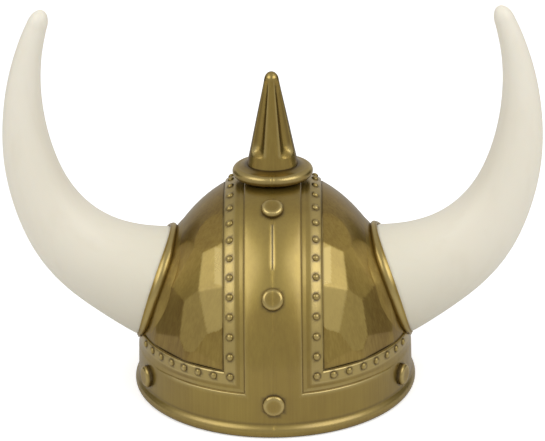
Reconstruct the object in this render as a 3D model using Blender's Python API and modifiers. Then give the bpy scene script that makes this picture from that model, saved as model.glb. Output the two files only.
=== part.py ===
"""Horned helmet: a faceted skull under a crest band and a brow band, with collars, horns and a crown spike.

Frame: origin on the floor plane in the middle of the rim, +Z up, the front faces -Y.
Left and right are the wearer's own, so the left horn points along +X.
"""

import math
from typing import NamedTuple

import bmesh
import bpy
from mathutils import Matrix, Vector

MM = 0.001
GAP = 0.3 * MM
UP = Vector((0.0, 0.0, 1.0))

# Skull: an oval dome that springs from a nearly upright wall.
SPRING_HEIGHT = 47.5 * MM
DOME_RISE = 109.36 * MM
DOME_HALF_WIDTH = 97.5 * MM
OVAL = 1.08
PLAN_POWER = 2.228
RISE_POWER = 1.387
SHELL_WALL = 3.0 * MM
CORE_DROP = 1.4 * MM
SHELL_FOOT = 1.5 * MM
DOME_STEPS = 40
HOLLOW_STEPS = 32
DOME_ROWS = 10

# Bands: one relief serves the crest and the brow, measured from the edge of the raised centre band.
BAND_HALF_WIDTH = 19.9 * MM
BELT_HEIGHT = 32.0 * MM
BORDER = 14.7 * MM
BAND_RAISE = 1.9 * MM
STRIP_RAISE = 1.2 * MM
CHANNEL_RAISE = 0.45 * MM
BAND_UNDERSIDE = -0.7 * MM
WALL_FLARE = 1.2 * MM
CREST_STEPS = 24
SIDE_STEPS = 8

# Small rivets on the riveted strips.
RIVET_RADIUS = 2.4 * MM
RIVET_HEIGHT = 1.6 * MM
RIVET_SIDES = 6
STRIP_RIVET_X = 29.8 * MM
CORNER_RIVET_HEIGHT = 43.9 * MM
STRIP_RIVETS = 12
BROW_RIVETS = 8
BROW_RIVET_STEP = 7.3
BROW_RIVET_HEIGHT = 43.0 * MM

# Large studs.
STUD_RADIUS = 7.4 * MM
STUD_HEIGHT = 2.7 * MM
STUD_SIDES = 12

# Collars and horns lie on one axis through the middle of the collar's face.
COLLAR_FACE = Vector((88.3 * MM, 0.0, 77.7 * MM))
COLLAR_LIFT = 17.9
COLLAR_RADIUS = 43.2 * MM
COLLAR_BORE = 41.2 * MM
COLLAR_DEPTH = 16.0 * MM
COLLAR_STEPS = 36
HORN_LENGTH = 248.1 * MM
HORN_WALL = 2.2 * MM
HORN_INSET = 1.5 * MM
HORN_SIDES = 20

# Crown disc and spike.
DISC_RADIUS = 25.8 * MM
BEAD_RADIUS = 3.2 * MM
BEAD_HEIGHT = 160.8 * MM
DISC_SEAT = 159.1 * MM
DISC_STEPS = 32
SPIKE_SEAT = 166.8 * MM
FLUTE_HALF_ANGLE = 27.0
FLUTE_DEPTH = 0.2


class Facet(NamedTuple):
    """One hammered flat of the skull: where its middle lies, how deep it cuts and how far it leans back."""

    azimuth: float
    height: float
    depth: float
    lean: float


# Angles in degrees from the front towards the side, lengths in mm; mirrored into all four panels.
FACETS = (
    Facet(azimuth=47.5, height=129.5, depth=1.2, lean=0.0),
    Facet(azimuth=38.0, height=111.5, depth=1.5, lean=0.0),
    Facet(azimuth=29.0, height=89.5, depth=1.7, lean=0.0),
    Facet(azimuth=40.0, height=80.0, depth=1.7, lean=-2.0),
    Facet(azimuth=25.0, height=62.0, depth=0.9, lean=0.0),
    Facet(azimuth=53.0, height=78.5, depth=1.4, lean=0.0),
    Facet(azimuth=52.0, height=55.0, depth=1.4, lean=0.0),
    Facet(azimuth=31.0, height=48.5, depth=1.0, lean=0.0),
    Facet(azimuth=61.0, height=105.0, depth=1.1, lean=0.0),
)

# Rim bead below the belt: height and half width, both in mm, from the belt down to the floor.
RIM_SECTION = (
    (14.0, 100.3),
    (10.2, 100.5),
    (8.0, 101.8),
    (4.6, 103.0),
    (2.4, 102.5),
    (0.9, 101.4),
    (0.0, 99.8),
)

# Horn: share of the length, heading in degrees above the outward horizontal.
HORN_HEADINGS = ((0.0, 17.9), (0.15, 30.05), (0.35, 58.7), (0.55, 79.7), (0.75, 95.2), (1.0, 115.4))

# Horn: share of the length, radius in mm.
HORN_RADII = (
    (0.0, 40.6),
    (0.12, 34.3),
    (0.27, 28.3),
    (0.42, 22.5),
    (0.57, 18.1),
    (0.72, 13.6),
    (0.85, 9.9),
    (0.95, 7.4),
    (1.0, 5.4),
)
HORN_ROWS = (0.0, 0.06, 0.12, 0.19, 0.27, 0.35, 0.43, 0.51, 0.59, 0.67, 0.75, 0.82, 0.89, 0.95)
NOSE_ROWS = (0.45, 0.78, 0.94)

# Spike: height and radius in mm, from the seat up to the nose; then the share of the full flute depth.
SPIKE_SECTION = (
    (167.1, 18.6, 0.0),
    (168.6, 17.9, 0.0),
    (171.2, 17.3, 0.0),
    (173.6, 16.8, 0.55),
    (177.0, 16.1, 0.9),
    (188.7, 13.8, 1.0),
    (206.7, 10.05, 1.0),
    (222.0, 6.8, 0.9),
    (229.0, 5.4, 0.3),
    (232.2, 4.6, 0.0),
    (234.6, 2.9, 0.0),
)
SPIKE_TIP = 235.5 * MM

# Large studs: name, height in mm and azimuth in degrees from the front.
CREST_STUDS = (
    ("front_top", 145.6, 0.0),
    ("front_low", 96.2, 0.0),
    ("back_low", 96.2, 180.0),
    ("back_top", 145.6, 180.0),
)
BELT_STUDS = (
    ("front", 24.5, 0.0),
    ("front_left", 21.0, 65.0),
    ("back_left", 21.0, 115.0),
    ("back", 24.5, 180.0),
    ("back_right", 21.0, 245.0),
    ("front_right", 21.0, 295.0),
)


def clear_scene():
    """Remove whatever the scene holds."""
    for obj in list(bpy.data.objects):
        bpy.data.objects.remove(obj, do_unlink=True)


def make_material(name, colour, roughness, metallic):
    """Return a Principled material."""
    material = bpy.data.materials.new(name)
    material.use_nodes = True
    shader = material.node_tree.nodes["Principled BSDF"]
    shader.inputs["Base Color"].default_value = (*colour, 1.0)
    shader.inputs["Roughness"].default_value = roughness
    shader.inputs["Metallic"].default_value = metallic
    return material


def make_object(name, mesh, collection, material=None, parent=None):
    """Put a mesh in the scene; one without a material is a cutter."""
    obj = bpy.data.objects.new(name, mesh)
    collection.objects.link(obj)
    obj.parent = parent
    if material is None:
        obj.hide_render = True
        obj.display_type = "WIRE"
        return obj
    mesh.materials.append(material)
    mesh.shade_smooth()
    mesh.set_sharp_from_angle(angle=math.radians(35.0))
    return obj


def add_boolean(obj, operation, other):
    """Add an exact Boolean with another object."""
    modifier = obj.modifiers.new(f"{operation.lower()} {other.name}", "BOOLEAN")
    modifier.operation = operation
    modifier.object = other


def add_screw(obj, steps):
    """Turn the object's profile round its Z axis."""
    modifier = obj.modifiers.new("turn", "SCREW")
    modifier.steps = steps
    modifier.render_steps = steps
    modifier.use_merge_vertices = True
    modifier.merge_threshold = 0.00001


def bake(obj):
    """Replace the object's mesh by its evaluated one and drop the modifiers."""
    bpy.context.view_layer.update()
    graph = bpy.context.evaluated_depsgraph_get()
    obj.data = bpy.data.meshes.new_from_object(obj.evaluated_get(graph))
    obj.modifiers.clear()


def profile_mesh(name, points):
    """Return a mesh of edges through (radius, height) points in the XZ plane."""
    mesh = bpy.data.meshes.new(name)
    edges = [(i, i + 1) for i in range(len(points) - 1)]
    mesh.from_pydata([(radius, 0.0, height) for radius, height in points], edges, [])
    return mesh


def loft_mesh(name, rings, closed=False):
    """Return a mesh through rings of equal length; its ends are capped, or joined to each other if closed.

    A ring with a single point ends the loft in a pole.
    """
    bm = bmesh.new()
    rows = [[bm.verts.new(point) for point in ring] for ring in rings]
    pairs = list(zip(rows, rows[1:]))
    if closed:
        pairs.append((rows[-1], rows[0]))
    for first, second in pairs:
        count = max(len(first), len(second))
        for i in range(count):
            j = (i + 1) % count
            lower = [first[i % len(first)], first[j % len(first)]]
            upper = [second[j % len(second)], second[i % len(second)]]
            bm.faces.new(list(dict.fromkeys(lower + upper)))
    if not closed:
        for row in (rows[0], rows[-1]):
            if len(row) > 1:
                bm.faces.new(row)
    bmesh.ops.recalc_face_normals(bm, faces=bm.faces)
    mesh = bpy.data.meshes.new(name)
    bm.to_mesh(mesh)
    bm.free()
    return mesh


def box_mesh(name, low, high):
    """Return a box between two corners."""
    bm = bmesh.new()
    size = Vector(high) - Vector(low)
    place = Matrix.Translation(Vector(low) + size / 2.0) @ Matrix.Diagonal((*size, 1.0))
    bmesh.ops.create_cube(bm, size=1.0, matrix=place)
    mesh = bpy.data.meshes.new(name)
    bm.to_mesh(mesh)
    bm.free()
    return mesh


def facing(normal, point):
    """Return the matrix that stands an object on a point with its Z axis along a normal."""
    return Matrix.Translation(point) @ normal.to_track_quat("Z", "Y").to_matrix().to_4x4()


def smooth_value(table, share):
    """Read a table of (share, value) rows through a smooth curve."""
    last = len(table) - 2
    i = max(k for k in range(last + 1) if k == 0 or table[k][0] <= share)

    def slope(k):
        low = table[max(k - 1, 0)]
        high = table[min(k + 1, last + 1)]
        return (high[1] - low[1]) / (high[0] - low[0])

    (x0, y0), (x1, y1) = table[i], table[i + 1]
    span = x1 - x0
    s = (share - x0) / span
    return (
        (2 * s**3 - 3 * s**2 + 1) * y0
        + (s**3 - 2 * s**2 + s) * span * slope(i)
        + (3 * s**2 - 2 * s**3) * y1
        + (s**3 - s**2) * span * slope(i + 1)
    )


# The smooth dome


def dome_half_width(height):
    """Return the dome's half width at a height; below the spring line it's constant."""
    rise = max(height - SPRING_HEIGHT, 0.0) / DOME_RISE
    return DOME_HALF_WIDTH * max(1.0 - rise**RISE_POWER, 0.0) ** (1.0 / PLAN_POWER)


def dome_normal(point):
    """Return the outward normal of the smooth dome at a point on it."""
    radius = max(math.hypot(point.x, point.y / OVAL), 1e-9)
    rise = max(point.z - SPRING_HEIGHT, 0.0) / DOME_RISE
    spread = PLAN_POWER * (radius / DOME_HALF_WIDTH) ** (PLAN_POWER - 1.0) / DOME_HALF_WIDTH
    lift = RISE_POWER * rise ** (RISE_POWER - 1.0) / DOME_RISE
    return Vector((spread * point.x / radius, spread * point.y / (OVAL**2 * radius), lift)).normalized()


def dome_point(azimuth, height, offset=0.0):
    """Return the point at an azimuth in degrees from the front and a height, moved out along the normal."""
    width = dome_half_width(height)
    angle = math.radians(azimuth)
    point = Vector((width * math.sin(angle), -OVAL * width * math.cos(angle), height))
    return point + dome_normal(point) * offset


def dome_profile(offset, foot):
    """Return the (radius, height) profile of the dome moved out by an offset and closed by a flat foot."""
    profile = []
    for row in range(DOME_ROWS + 1):
        angle = math.radians(90.0 * row / DOME_ROWS)
        radius = DOME_HALF_WIDTH * math.sin(angle) ** (2.0 / PLAN_POWER)
        height = SPRING_HEIGHT + DOME_RISE * max(math.cos(angle), 0.0) ** (2.0 / RISE_POWER)
        normal = dome_normal(Vector((radius, 0.0, height)))
        profile.append((radius + normal.x * offset, height + normal.z * offset))
    profile[0] = (0.0, SPRING_HEIGHT + DOME_RISE + offset)
    return profile + [(profile[-1][0], foot), (0.0, foot)]


def make_dome(name, offset, foot, steps, collection):
    """Return a solid oval dome."""
    obj = make_object(name, profile_mesh(name, dome_profile(offset, foot)), collection)
    add_screw(obj, steps)
    bake(obj)
    obj.data.transform(Matrix.Diagonal((1.0, OVAL, 1.0, 1.0)))
    return obj


# Skull


def cut_facet(bm, normal, point):
    """Slice off what lies outside a plane and close the cut."""
    geometry = list(bm.verts) + list(bm.edges) + list(bm.faces)
    cut = bmesh.ops.bisect_plane(bm, geom=geometry, plane_co=point, plane_no=normal, clear_outer=True)
    edges = [item for item in cut["geom_cut"] if isinstance(item, bmesh.types.BMEdge)]
    bmesh.ops.edgeloop_fill(bm, edges=edges)


def cut_facets(obj):
    """Cut the chart's facets into all four panels."""
    bm = bmesh.new()
    bm.from_mesh(obj.data)
    for facet in FACETS:
        point = dome_point(facet.azimuth, facet.height * MM, -facet.depth * MM)
        normal = dome_normal(dome_point(facet.azimuth, facet.height * MM))
        side = UP.cross(normal).normalized()
        normal = Matrix.Rotation(math.radians(-facet.lean), 3, side) @ normal
        for mirror_x in (1.0, -1.0):
            for mirror_y in (1.0, -1.0):
                flip = Vector((mirror_x, mirror_y, 1.0))
                cut_facet(bm, normal * flip, point * flip)
    bmesh.ops.recalc_face_normals(bm, faces=bm.faces)
    bm.to_mesh(obj.data)
    bm.free()


def make_skull(parts, cutters, material, parent):
    """Build the skull shell and return it with the solid block that it was hollowed from."""
    block = make_dome("skull_block", 0.0, SHELL_FOOT, DOME_STEPS, cutters)
    cut_facets(block)
    core = make_dome("skull_core", -CORE_DROP, -5.0 * MM, DOME_STEPS, cutters)
    hollow = make_dome("skull_hollow", -SHELL_WALL, -5.0 * MM, HOLLOW_STEPS, cutters)

    reach = 0.2
    slot_half = BAND_HALF_WIDTH + BORDER + GAP
    slot_mesh = box_mesh("slot", (-slot_half, -reach, -reach), (slot_half, reach, reach))
    slot = make_object("crest_slot", slot_mesh, cutters)
    step_mesh = box_mesh("step", (-reach, -reach, -reach), (reach, reach, SPRING_HEIGHT + GAP))
    step = make_object("brow_step", step_mesh, cutters)
    add_boolean(slot, "UNION", step)
    add_boolean(slot, "DIFFERENCE", core)

    shell = make_object("skull_shell", block.data.copy(), parts, material, parent)
    add_boolean(shell, "DIFFERENCE", slot)
    add_boolean(shell, "DIFFERENCE", hollow)
    return shell, block


# Bands


def relief(inset):
    """Return how far the bands stand out at a distance from the centre band's or the belt's edge."""
    if inset <= 0.0:
        return BAND_RAISE
    if inset < 5.0 * MM:
        return CHANNEL_RAISE
    return STRIP_RAISE


def relief_steps():
    """Return the distances from the centre band's edge at which the relief changes."""
    return (0.0, 0.7 * MM, 3.3 * MM, 6.7 * MM, BORDER)


def crest_point(across, angle, offset):
    """Return the point over the dome at a distance across the crest and an angle forward from the top."""
    direction = Vector((0.0, -math.sin(angle), math.cos(angle)))
    near = 0.0
    far = 0.2
    for _ in range(40):
        middle = (near + far) / 2.0
        point = Vector((across, 0.0, SPRING_HEIGHT)) + direction * middle
        inside = math.hypot(point.x, point.y / OVAL) < dome_half_width(point.z)
        near, far = (middle, far) if inside else (near, middle)
    point = Vector((across, 0.0, SPRING_HEIGHT)) + direction * near
    return point + dome_normal(point) * offset


def crest_section(angle):
    """Return the closed cross-section of the crest band at an angle from the top."""
    edges = [BAND_HALF_WIDTH + step for step in relief_steps()]
    half = [0.5 * BAND_HALF_WIDTH] + edges
    across = [-x for x in reversed(half)] + [0.0] + half
    top = [crest_point(x, angle, relief(abs(x) - BAND_HALF_WIDTH)) for x in across]
    below = (edges[-1], edges[3], edges[0], half[0])
    under = [crest_point(x, angle, BAND_UNDERSIDE) for x in (*below, 0.0, *(-x for x in reversed(below)))]
    return top + under


def crest_arc(across):
    """Return (angle, distance) pairs along the crest from the corner rivet's height to the top."""
    low = math.asin(CORNER_RIVET_HEIGHT / DOME_HALF_WIDTH) - math.asin(SPRING_HEIGHT / DOME_HALF_WIDTH)
    start = math.pi / 2.0
    pairs = [(start, abs(low) * DOME_HALF_WIDTH)]
    for step in range(1, 181):
        angle = start * (1.0 - step / 180.0)
        stride = (crest_point(across, angle, 0.0) - crest_point(across, pairs[-1][0], 0.0)).length
        pairs.append((angle, pairs[-1][1] + stride))
    return pairs


def strip_rivet_places():
    """Return the crest rivets' (point, normal), evenly spaced along both riveted strips."""
    pairs = crest_arc(STRIP_RIVET_X)
    pitch = pairs[-1][1] / (STRIP_RIVETS - 0.5)
    places = []
    for number in range(1, STRIP_RIVETS):
        angle = min(pairs, key=lambda pair: abs(pair[1] - number * pitch))[0]
        for side in (1.0, -1.0):
            for end in (1.0, -1.0):
                foot = crest_point(side * STRIP_RIVET_X, end * angle, 0.0)
                normal = dome_normal(foot)
                places.append((foot + normal * STRIP_RAISE, normal))
    return places


def wall_point(azimuth, height, offset):
    """Return a point on the upright wall below the spring line, moved out along the plan normal."""
    foot = dome_point(azimuth, SPRING_HEIGHT)
    normal = dome_normal(foot)
    point = foot + normal * offset
    point.z = height
    return point


def wall_flare(height):
    """Return how far the wall has flared out below the spring line."""
    return WALL_FLARE * (SPRING_HEIGHT - height) / SPRING_HEIGHT


def brow_azimuths():
    """Return the brow's stations: close across the crest's foot, then even steps round to the side."""
    across = [0.0, 0.5 * BAND_HALF_WIDTH] + [BAND_HALF_WIDTH + step for step in relief_steps()]
    quarter = [math.degrees(math.asin(x / DOME_HALF_WIDTH)) for x in across]
    start = quarter[-1]
    quarter += [start + (90.0 - start) * k / SIDE_STEPS for k in range(1, SIDE_STEPS + 1)]
    half = quarter + [180.0 - a for a in reversed(quarter[:-1])]
    return half + [360.0 - a for a in reversed(half[1:-1])]


def brow_section(azimuth):
    """Return the closed cross-section of the brow band at an azimuth."""
    across = DOME_HALF_WIDTH * abs(math.sin(math.radians(azimuth)))
    section = [wall_point(azimuth, 0.0, BAND_UNDERSIDE), wall_point(azimuth, SPRING_HEIGHT, BAND_UNDERSIDE)]
    levels = [SPRING_HEIGHT] + [BELT_HEIGHT + step for step in reversed(relief_steps()[:-1])]
    for height in levels:
        inset = min(across - BAND_HALF_WIDTH, height - BELT_HEIGHT)
        offset = relief(round(inset, 7)) + wall_flare(height)
        section.append(wall_point(azimuth, height, offset))
    for height, half_width in RIM_SECTION:
        section.append(wall_point(azimuth, height * MM, half_width * MM - DOME_HALF_WIDTH))
    return section


def brow_rivet_places():
    """Return the brow rivets' (point, normal): from the crest strip's corner round towards the collars."""
    corner = math.degrees(math.asin(STRIP_RIVET_X / DOME_HALF_WIDTH))
    places = []
    for number in range(BROW_RIVETS):
        azimuth = corner + number * BROW_RIVET_STEP
        height = CORNER_RIVET_HEIGHT if number == 0 else BROW_RIVET_HEIGHT
        for turned in (azimuth, 180.0 - azimuth, 180.0 + azimuth, -azimuth):
            point = wall_point(turned, height, STRIP_RAISE + wall_flare(height))
            places.append((point, dome_normal(dome_point(turned, SPRING_HEIGHT))))
    return places


def make_rivets(name, places, collection):
    """Return one cutter that holds every rivet of a band, each sunk a little into it."""
    sink = 0.5 * MM
    bm = bmesh.new()
    for point, normal in places:
        middle = facing(normal, point + normal * (RIVET_HEIGHT - sink) / 2.0)
        bmesh.ops.create_cone(
            bm,
            cap_ends=True,
            segments=RIVET_SIDES,
            radius1=RIVET_RADIUS,
            radius2=0.5 * RIVET_RADIUS,
            depth=RIVET_HEIGHT + sink,
            matrix=middle,
        )
    mesh = bpy.data.meshes.new(name)
    bm.to_mesh(mesh)
    bm.free()
    return make_object(name, mesh, collection)


def make_crest(parts, cutters, material, parent):
    """Build the band that runs over the top from front to back."""
    limit = math.pi / 2.0 - GAP / (OVAL * DOME_HALF_WIDTH)
    angles = [limit * (1.0 - 2.0 * step / CREST_STEPS) for step in range(CREST_STEPS + 1)]
    mesh = loft_mesh("crest_band", [crest_section(angle) for angle in angles])
    band = make_object("crest_band", mesh, parts, material, parent)
    add_boolean(band, "UNION", make_rivets("crest_rivets", strip_rivet_places(), cutters))
    return band


def make_brow(parts, cutters, material, parent):
    """Build the riveted brow band with its belt and rolled rim, notched for the collars."""
    mesh = loft_mesh("brow_band", [brow_section(azimuth) for azimuth in brow_azimuths()], closed=True)
    band = make_object("brow_band", mesh, parts, material, parent)
    add_boolean(band, "UNION", make_rivets("brow_rivets", brow_rivet_places(), cutters))
    for side in (1.0, -1.0):
        bm = bmesh.new()
        bmesh.ops.create_cone(
            bm,
            cap_ends=True,
            segments=COLLAR_STEPS,
            radius1=COLLAR_RADIUS + GAP,
            radius2=COLLAR_RADIUS + GAP,
            depth=60.0 * MM,
        )
        notch_mesh = bpy.data.meshes.new("collar_notch")
        bm.to_mesh(notch_mesh)
        bm.free()
        notch = make_object(f"collar_notch_{side:+.0f}", notch_mesh, cutters)
        notch.matrix_world = collar_place(side)
        add_boolean(band, "DIFFERENCE", notch)
    return band


# Collars and horns


def collar_axis(side):
    """Return the collar's outward axis on one side."""
    lift = math.radians(COLLAR_LIFT)
    return Vector((side * math.cos(lift), 0.0, math.sin(lift)))


def collar_place(side):
    """Return the matrix of the collar's frame: its Z axis runs out along the horn."""
    return facing(collar_axis(side), COLLAR_FACE * Vector((side, 1.0, 1.0)))


def make_collar(name, side, block, parts, cutters, material, parent):
    """Build the ring that the horn stands in, cut back to the skull."""
    round_edge = 1.4 * MM
    profile = [
        (COLLAR_BORE, -0.4 * MM),
        (COLLAR_BORE + 0.5 * MM, 0.0),
        (COLLAR_RADIUS - 0.9 * MM, -0.2 * MM),
        (COLLAR_RADIUS, -round_edge),
        (COLLAR_RADIUS, -COLLAR_DEPTH),
        (COLLAR_BORE, -COLLAR_DEPTH),
        (COLLAR_BORE, -0.4 * MM),
    ]
    collar = make_object(name, profile_mesh(name, profile), parts, material)
    add_screw(collar, COLLAR_STEPS)
    bake(collar)
    collar.data.shade_smooth()
    collar.data.set_sharp_from_angle(angle=math.radians(35.0))
    collar.parent = parent
    collar.matrix_world = collar_place(side)
    cutter = make_object(f"{name}_seat", block.data.copy(), cutters)
    cutter.location = collar_axis(side) * 1.3 * GAP
    add_boolean(collar, "DIFFERENCE", cutter)
    return collar


def horn_place(share):
    """Return the centre and heading in radians of the left horn at a share of its length."""
    steps = 60
    centre = COLLAR_FACE.copy()
    for step in range(steps):
        heading = math.radians(smooth_value(HORN_HEADINGS, share * (step + 0.5) / steps))
        centre += Vector((math.cos(heading), 0.0, math.sin(heading))) * (share * HORN_LENGTH / steps)
    return centre, math.radians(smooth_value(HORN_HEADINGS, share))


def horn_ring(share, radius, shift=0.0):
    """Return a ring round the horn's centreline, moved along it by a shift."""
    centre, heading = horn_place(share)
    along = Vector((math.cos(heading), 0.0, math.sin(heading)))
    above = Vector((-math.sin(heading), 0.0, math.cos(heading)))
    level = Vector((0.0, 1.0, 0.0))
    ring = []
    for k in range(HORN_SIDES):
        turn = 2.0 * math.pi * k / HORN_SIDES
        ring.append(centre + along * shift + (above * math.cos(turn) + level * math.sin(turn)) * radius)
    return ring


def horn_rings():
    """Return the rings of the hollow horn: up inside from the base, then down outside, as one closed skin."""
    radii = {share: smooth_value(HORN_RADII, share) * MM for share in HORN_ROWS}
    outer = [horn_ring(0.0, radii[0.0], -HORN_INSET)]
    outer += [horn_ring(share, radii[share]) for share in HORN_ROWS[1:]]
    last = HORN_ROWS[-1]
    for share in NOSE_ROWS:
        radius = radii[last] * math.sqrt(1.0 - share**2)
        outer.append(horn_ring(last + (1.0 - last) * share, radius))
    tip = [horn_place(1.0)[0]]
    inner = [horn_ring(0.0, radii[0.0] - HORN_WALL, -HORN_INSET)]
    inner += [horn_ring(share, radii[share] - HORN_WALL) for share in HORN_ROWS[2:-1:2]]
    end = [horn_place(0.93)[0]]
    return [end] + inner[::-1] + outer + [tip]


def make_horn(name, side, parts, material, parent):
    """Build one curved hollow horn."""
    mesh = loft_mesh(name, horn_rings())
    if side < 0.0:
        mesh.transform(Matrix.Diagonal((-1.0, 1.0, 1.0, 1.0)))
        mesh.flip_normals()
    return make_object(name, mesh, parts, material, parent)


# Crown


def make_disc(parts, material, parent):
    """Build the turned disc with a round bead that the spike stands on."""
    seat_radius = 18.9 * MM
    profile = [(0.0, SPIKE_SEAT), (seat_radius, SPIKE_SEAT), (20.6 * MM, 166.0 * MM), (22.6 * MM, 164.5 * MM)]
    for angle in (85.0, 50.0, 15.0, -20.0, -55.0, -95.0):
        turn = math.radians(angle)
        radius = DISC_RADIUS + BEAD_RADIUS * math.cos(turn)
        profile.append((radius, BEAD_HEIGHT + BEAD_RADIUS * math.sin(turn)))
    profile += [(21.0 * MM, DISC_SEAT), (0.0, DISC_SEAT)]
    disc = make_object("crown_disc", profile_mesh("crown_disc", profile), parts, material)
    add_screw(disc, DISC_STEPS)
    bake(disc)
    disc.data.shade_smooth()
    disc.data.set_sharp_from_angle(angle=math.radians(35.0))
    disc.parent = parent
    return disc


def flute_share(turn):
    """Return the depth of the flutes round the spike at an angle in degrees, as a share of the full depth."""
    from_middle = abs(turn % 90.0 - 45.0) / FLUTE_HALF_ANGLE
    return max(1.0 - from_middle**2, 0.0)


def make_spike(parts, material, parent):
    """Build the cone with four flutes between its ridges and a rounded nose."""
    edge = 45.0 - FLUTE_HALF_ANGLE
    quarter = [0.0] + [edge + 2.0 * FLUTE_HALF_ANGLE * k / 6 for k in range(7)]
    turns = [start + turn for start in (0.0, 90.0, 180.0, 270.0) for turn in quarter]
    rings = []
    for height, radius, depth in SPIKE_SECTION:
        ring = []
        for turn in turns:
            reach = radius * MM * (1.0 - FLUTE_DEPTH * depth * flute_share(turn))
            angle = math.radians(turn)
            ring.append(Vector((reach * math.cos(angle), reach * math.sin(angle), height * MM)))
        rings.append(ring)
    rings.append([Vector((0.0, 0.0, SPIKE_TIP))])
    return make_object("crown_spike", loft_mesh("crown_spike", rings), parts, material, parent)


# Studs


def make_stud(name, point, normal, parts, material, parent):
    """Build one large round stud with a flat face and a rounded edge."""
    profile = [
        (0.0, STUD_HEIGHT),
        (0.66 * STUD_RADIUS, STUD_HEIGHT),
        (0.88 * STUD_RADIUS, 0.78 * STUD_HEIGHT),
        (STUD_RADIUS, 0.35 * STUD_HEIGHT),
        (STUD_RADIUS, 0.0),
        (0.0, 0.0),
    ]
    stud = make_object(name, profile_mesh(name, profile), parts, material)
    add_screw(stud, STUD_SIDES)
    bake(stud)
    stud.data.shade_smooth()
    stud.data.set_sharp_from_angle(angle=math.radians(35.0))
    stud.parent = parent
    stud.matrix_world = facing(normal, point)
    return stud


def make_studs(parts, material, parent):
    """Build the studs of the crest and of the belt, each just clear of its band."""
    for name, height, azimuth in CREST_STUDS:
        foot = dome_point(azimuth, height * MM)
        normal = dome_normal(foot)
        make_stud(f"stud_crest_{name}", foot + normal * (BAND_RAISE + GAP), normal, parts, material, parent)
    for name, height, azimuth in BELT_STUDS:
        offset = BAND_RAISE + wall_flare(height * MM) + GAP
        point = wall_point(azimuth, height * MM, offset)
        normal = dome_normal(dome_point(azimuth, SPRING_HEIGHT))
        make_stud(f"stud_belt_{name}", point, normal, parts, material, parent)


def main():
    """Build the helmet."""
    clear_scene()
    parts = bpy.data.collections.new("horned_helmet")
    cutters = bpy.data.collections.new("cutters")
    bpy.context.scene.collection.children.link(parts)
    bpy.context.scene.collection.children.link(cutters)
    root = bpy.data.objects.new("helmet_root", None)
    parts.objects.link(root)

    gold = make_material("antique_gold", (0.42, 0.31, 0.10), 0.38, 0.85)
    band_gold = make_material("band_gold", (0.45, 0.33, 0.11), 0.36, 0.85)
    bright_gold = make_material("bright_gold", (0.50, 0.38, 0.14), 0.32, 0.85)
    ivory = make_material("ivory", (0.82, 0.76, 0.62), 0.42, 0.0)

    _, block = make_skull(parts, cutters, gold, root)
    make_crest(parts, cutters, band_gold, root)
    make_brow(parts, cutters, band_gold, root)
    for word, side in (("left", 1.0), ("right", -1.0)):
        make_collar(f"collar_{word}", side, block, parts, cutters, band_gold, root)
        make_horn(f"horn_{word}", side, parts, ivory, root)
    make_disc(parts, bright_gold, root)
    make_spike(parts, bright_gold, root)
    make_studs(parts, bright_gold, root)


if __name__ == "__main__":
    main()
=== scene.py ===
"""Looks of the horned helmet: antique-gold bowl with hammered panels and riveted bands, ivory horns.

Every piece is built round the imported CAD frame: metres, +Z up, the front faces -Y, horns along X.
"""

from __future__ import annotations

import logging
import math
from collections.abc import Iterator, Sequence
from contextlib import contextmanager
from dataclasses import dataclass, field
from enum import Enum

import bmesh
import bpy
import numpy as np
from mathutils import Matrix, Vector

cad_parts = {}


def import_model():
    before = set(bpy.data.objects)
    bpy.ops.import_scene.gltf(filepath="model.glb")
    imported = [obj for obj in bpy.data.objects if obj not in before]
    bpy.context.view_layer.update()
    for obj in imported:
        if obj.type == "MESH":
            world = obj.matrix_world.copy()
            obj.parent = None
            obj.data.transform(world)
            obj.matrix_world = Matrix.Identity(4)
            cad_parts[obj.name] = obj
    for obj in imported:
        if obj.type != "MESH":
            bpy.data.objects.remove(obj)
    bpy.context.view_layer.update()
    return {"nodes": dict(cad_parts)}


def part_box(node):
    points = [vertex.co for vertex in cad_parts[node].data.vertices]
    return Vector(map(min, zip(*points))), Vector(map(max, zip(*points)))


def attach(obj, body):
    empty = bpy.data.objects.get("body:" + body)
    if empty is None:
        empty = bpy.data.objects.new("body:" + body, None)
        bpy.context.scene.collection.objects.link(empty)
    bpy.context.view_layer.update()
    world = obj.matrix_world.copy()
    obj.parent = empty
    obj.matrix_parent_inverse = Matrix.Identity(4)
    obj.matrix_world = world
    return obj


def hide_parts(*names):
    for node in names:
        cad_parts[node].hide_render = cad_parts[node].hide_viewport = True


LOG = logging.getLogger("horned_helmet")
MM = 0.001
TINY = 1e-6
WELD = 0.001 * MM
# Heights between which the crest's parting line stands clear, and how fast it fades in at each.
CLEAR_LINE = (113.0 * MM, 141.0 * MM)
CLEAR_FADE = (4.0 * MM, 1.5 * MM)

Array = np.ndarray
Triple = tuple[float, float, float]
# A fastener's point and unit normal.
Place = tuple[Array, Array]
# Outer points, inner points, edge wear with painted highlight, painted shade, and grit with painted sheen of a stretch
# of band.
Layers = tuple[Array, Array, Array, Array, Array]
# What a node's inputs get, by name or number.
Inputs = dict[str | int, object]


class Side(Enum):
    """The wearer's two sides, as signs along X."""

    LEFT = 1.0
    RIGHT = -1.0

    @property
    def word(self) -> str:
        """Return the side's plain name."""
        return self.name.lower()


class Mask(Enum):
    """Names of the point attributes that tell a finish where to paint wear, highlights and shade onto a surface."""

    # Edge wear together with painted highlights on edges, lips, rivet heads and glints.
    EDGE = "edge_wear"
    # Painted shade: creases, recesses, contact rings round fasteners and undersides.
    HOLLOW = "hollow_dirt"
    # Painted light and shade on each hammered flat, on the crest and on the collars.
    TONE = "flat_tone"
    # Grit on the riveted strips, which also paints sheen on them.
    GRIT = "strip_grit"
    ALONG = "along"


# Meshes


def smooth_step(low: float, high: float, value: Array) -> Array:
    """Return 0 below low, 1 above high and a smooth ramp between.

    Args:
        low: Where the ramp starts.
        high: Where the ramp ends.
        value: Values to look up.

    Returns:
        The ramp's value for each one.
    """
    share = np.clip((value - low) / (high - low), 0.0, 1.0)
    return share * share * (3.0 - 2.0 * share)


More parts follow.
